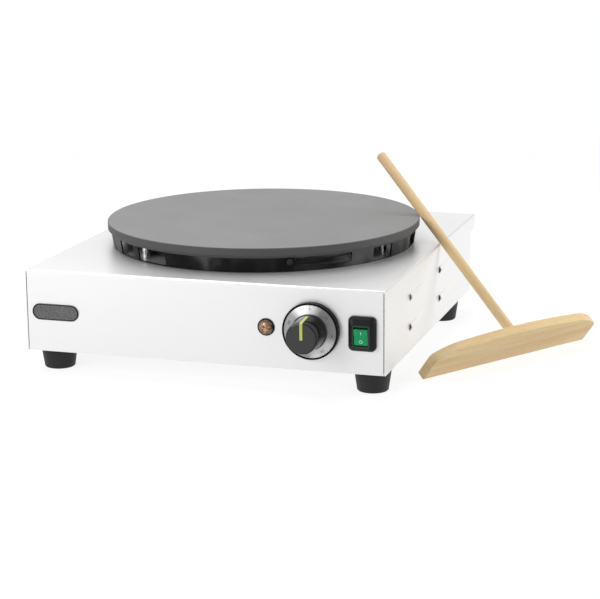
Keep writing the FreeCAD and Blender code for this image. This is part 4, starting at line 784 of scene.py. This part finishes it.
def dial_markings(ink):
    """Numbers and short ticks round the scale disc, clockwise from the top."""
    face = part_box("dial_scale")[0].y
    number_radius = 26.6 * MM
    number_size = 3.9 * MM
    ink_thickness = 0.04 * MM
    number_place = Vector((dial_centre.x, face - 0.03 * MM, dial_centre.z))
    tick_radius = 30.3 * MM
    tick_width = 0.35 * MM
    tick_thickness = 0.07 * MM
    work = bmesh.new()
    for index, text in enumerate(DIAL_NUMBERS):
        angle = math.radians(index * DIAL_STEP)
        outward = Vector((math.sin(angle), 0, math.cos(angle)))
        place = number_place + outward * number_radius
        name = "dial_number_" + text
        numeral(text, number_size, ink_thickness, place, angle, ink, "housing", name)
    for index in range((len(DIAL_NUMBERS) - 1) * TICKS_PER_STEP + 1):
        angle = math.radians(index * DIAL_STEP / TICKS_PER_STEP)
        outward = Vector((math.sin(angle), 0, math.cos(angle)))
        sideways = Vector((math.cos(angle), 0, -math.sin(angle)))
        main = index % TICKS_PER_STEP == 0
        length = 1.6 * MM if main else 0.9 * MM
        centre = Vector((dial_centre.x, face, dial_centre.z)) + outward * tick_radius
        flat_bar(work, centre, outward, sideways, length, tick_width, tick_thickness)
    mesh = bpy.data.meshes.new("dial_ticks")
    work.to_mesh(mesh)
    work.free()
    new_piece("dial_ticks", mesh, ink, "housing", smooth=False)


def ring_mark(work, centre, up, radius, width, thickness, count=24):
    """Adds a thin flat ring that faces the front to a mesh being made."""
    across = Vector((1, 0, 0))
    out = across.cross(up).normalized() * -thickness
    rows = []
    for grow, lift in ((0, 0), (0, 1), (-width, 1), (-width, 0)):
        row = []
        for step in range(count):
            angle = 2 * math.pi * step / count
            spoke = across * math.sin(angle) + up * math.cos(angle)
            row.append(work.verts.new(centre + spoke * (radius + grow) - out * lift))
        rows.append(row)
    for first, second in zip(rows, rows[1:] + rows[:1]):
        for step in range(count):
            following = (step + 1) % count
            work.faces.new((first[step], first[following], second[following], second[step]))


def rocker_marks(paint):
    """The line and the ring on the two halves of the rocker, at rest with its lower half pressed in."""
    pivot = middle_of("switch_pin")
    rest_tilt = math.radians(6.0)
    half_height = 9.8 * MM
    dip = 0.9 * MM
    edge_reach = 10.0 * MM
    mark_level = 5.2 * MM
    mark_reach = edge_reach - dip * (1 - mark_level / half_height)
    line_length = 3.6 * MM
    line_width = 0.8 * MM
    ring_radius = 1.9 * MM
    ring_width = 0.65 * MM
    thickness = 0.08 * MM
    across = Vector((1, 0, 0))
    upper = Vector((0, -dip / half_height, 1)).normalized()
    lower = Vector((0, dip / half_height, 1)).normalized()
    line_place = Vector((0, -mark_reach, mark_level))
    ring_place = Vector((0, -mark_reach, -mark_level))
    work = bmesh.new()
    flat_bar(work, line_place, upper, across, line_length, line_width, thickness)
    ring_mark(work, ring_place, lower, ring_radius, ring_width, thickness)
    bmesh.ops.recalc_face_normals(work, faces=work.faces)
    work.transform(Matrix.Translation(pivot) @ Matrix.Rotation(rest_tilt, 4, "X"))
    mesh = bpy.data.meshes.new("rocker_marks")
    work.to_mesh(mesh)
    work.free()
    new_piece("rocker_marks", mesh, paint, "rocker", smooth=False)


def switch_frame(material):
    """A thin dark green frame on the boot, round the rocker's window."""
    middle = middle_of("switch_pin")
    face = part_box("switch_boot")[0].y
    shoulder = face - 0.25 * MM
    front = face - 0.55 * MM
    width = 21.4 * MM
    height = 26.0 * MM
    corner = 2.4 * MM
    ease = 0.3 * MM
    outer = rounded_rectangle(width, height, corner)
    eased = rounded_rectangle(width - 2 * ease, height - 2 * ease, corner - ease)
    inner = rounded_rectangle(17.4 * MM, 22.6 * MM, 0.8 * MM)
    steps = ((outer, face), (outer, shoulder), (eased, front), (inner, front), (inner, face))
    rings = [
        [Vector((middle.x + x, level, middle.z + z)) for x, z in outline] for outline, level in steps
    ]
    mesh = skin_of_rings("switch_frame", rings)
    new_piece("switch_frame", mesh, material, "housing", smooth=False)


def light_path_mix(sketch):
    """1 for rays from the camera, from gloss and through glass, else 0."""
    path = sketch.add("ShaderNodeLightPath").outputs
    seen = sketch.maths("MAXIMUM", path["Is Camera Ray"], path["Is Glossy Ray"])
    return sketch.maths("MAXIMUM", seen, path["Is Transmission Ray"])


def make_world(ambient):
    """A white surround for the eye and for gloss, with a gentler level of light on the object."""
    world = bpy.data.worlds.new("surround")
    bpy.context.scene.world = world
    world.use_nodes = True
    sketch = Sketch(world.node_tree)
    background = world.node_tree.nodes["Background"]
    background.inputs["Color"].default_value = grey(1.0)
    strength = sketch.maths("MULTIPLY_ADD", light_path_mix(sketch), 1.0 - ambient, ambient)
    sketch.feed(strength, background.inputs["Strength"])


def make_floor(ambient, bounce, lift):
    """A wide floor that keeps the object's shadow and turns into plain white away from it."""
    mesh = bpy.data.meshes.new("floor")
    work = bmesh.new()
    reach = 12.0
    level = -0.2 * MM
    corners = ((-reach, -reach), (reach, -reach), (reach, reach), (-reach, reach))
    work.faces.new([work.verts.new((x, y, level)) for x, y in corners])
    work.to_mesh(mesh)
    work.free()
    floor = bpy.data.objects.new("floor", mesh)
    bpy.context.scene.collection.objects.link(floor)
    material = bpy.data.materials.new("floor white")
    material.use_nodes = True
    tree = material.node_tree
    tree.nodes.clear()
    sketch = Sketch(tree)
    place = sketch.add("ShaderNodeTexCoord").outputs["Object"]
    fade_start = 0.9
    fade_end = 1.8
    away = sketch.span(sketch.vector("LENGTH", place), fade_start, fade_end, 0.0, 1.0)
    seen = light_path_mix(sketch)
    near_glow = sketch.maths("MULTIPLY_ADD", seen, lift - bounce, bounce)
    far_glow = sketch.maths("MULTIPLY_ADD", seen, 1.0 - ambient, ambient)
    diffuse = sketch.add("ShaderNodeBsdfDiffuse", {"Color": grey(0.26)})
    glow = sketch.add("ShaderNodeEmission", {"Color": grey(1.0), "Strength": near_glow})
    near = sketch.add("ShaderNodeAddShader", {0: diffuse.outputs[0], 1: glow.outputs[0]})
    far = sketch.add("ShaderNodeEmission", {"Color": grey(1.0), "Strength": far_glow})
    both = sketch.add("ShaderNodeMixShader", {0: away, 1: near.outputs[0], 2: far.outputs[0]})
    end = sketch.add("ShaderNodeOutputMaterial")
    sketch.feed(both.outputs[0], end.inputs["Surface"])
    mesh.materials.append(material)


def make_lamp(name, place, target, width, height, power):
    """A soft box that looks at a target."""
    light = bpy.data.lights.new(name, "AREA")
    light.shape = "RECTANGLE"
    light.size = width
    light.size_y = height
    light.energy = power
    lamp = bpy.data.objects.new(name, light)
    bpy.context.scene.collection.objects.link(lamp)
    lamp.location = place
    lamp.rotation_euler = (Vector(target) - Vector(place)).to_track_quat("-Z", "Y").to_euler()


def make_camera():
    """The camera at the place and angle of the photograph."""
    data = bpy.data.cameras.new("camera")
    data.sensor_fit = "HORIZONTAL"
    data.sensor_width = SENSOR
    data.lens = CAMERA_FOCAL_PIXELS * SENSOR / PICTURE_WIDTH
    data.clip_end = 50.0
    camera = bpy.data.objects.new("camera", data)
    bpy.context.scene.collection.objects.link(camera)
    back = Vector((
        math.sin(CAMERA_YAW) * math.cos(CAMERA_PITCH),
        -math.cos(CAMERA_YAW) * math.cos(CAMERA_PITCH),
        math.sin(CAMERA_PITCH),
    ))
    right = (-back).cross(Vector((0, 0, 1))).normalized()
    up = back.cross(right)
    rolled_right = right * math.cos(CAMERA_ROLL) + up * math.sin(CAMERA_ROLL)
    rolled_up = up * math.cos(CAMERA_ROLL) - right * math.sin(CAMERA_ROLL)
    turn = Matrix((rolled_right, rolled_up, back)).transposed()
    camera.matrix_world = Matrix.Translation(CAMERA_PLACE) @ turn.to_4x4()
    bpy.context.scene.camera = camera


def make_stage():
    """Floor, light and camera."""
    ambient = 0.32
    make_world(ambient)
    make_floor(ambient, bounce=0.42, lift=0.825)
    make_lamp("overhead box", (-0.5, 0.3, 1.9), (0, 0, 0.1), width=1.8, height=1.4, power=18.5)
    make_lamp("left box", (-0.45, -1.05, 0.5), (-0.1, 0, 0.1), width=0.4, height=0.4, power=4.8)
    make_lamp("right box", (1.65, 0.35, 0.6), (0.2, 0, 0.1), width=1.2, height=0.9, power=14.0)
    make_camera()
    bpy.context.scene.view_settings.view_transform = "Standard"


def make_pieces():
    """Small pieces that the frame doesn't hold."""
    badge_rim(moulding_material("badge black", grey(0.008), grey(0.016), 0.3))
    dial_markings(print_material("dial ink", grey(0.05), 0.5))
    rocker_marks(print_material("white paint", (0.78, 0.86, 0.80, 1), 0.4))
    frame_dark = (0.004, 0.020, 0.010, 1)
    frame_light = (0.008, 0.034, 0.018, 1)
    switch_frame(moulding_material("dark green moulding", frame_dark, frame_light, 0.15, coat=0.4))


dress_all()
make_pieces()
make_stage()
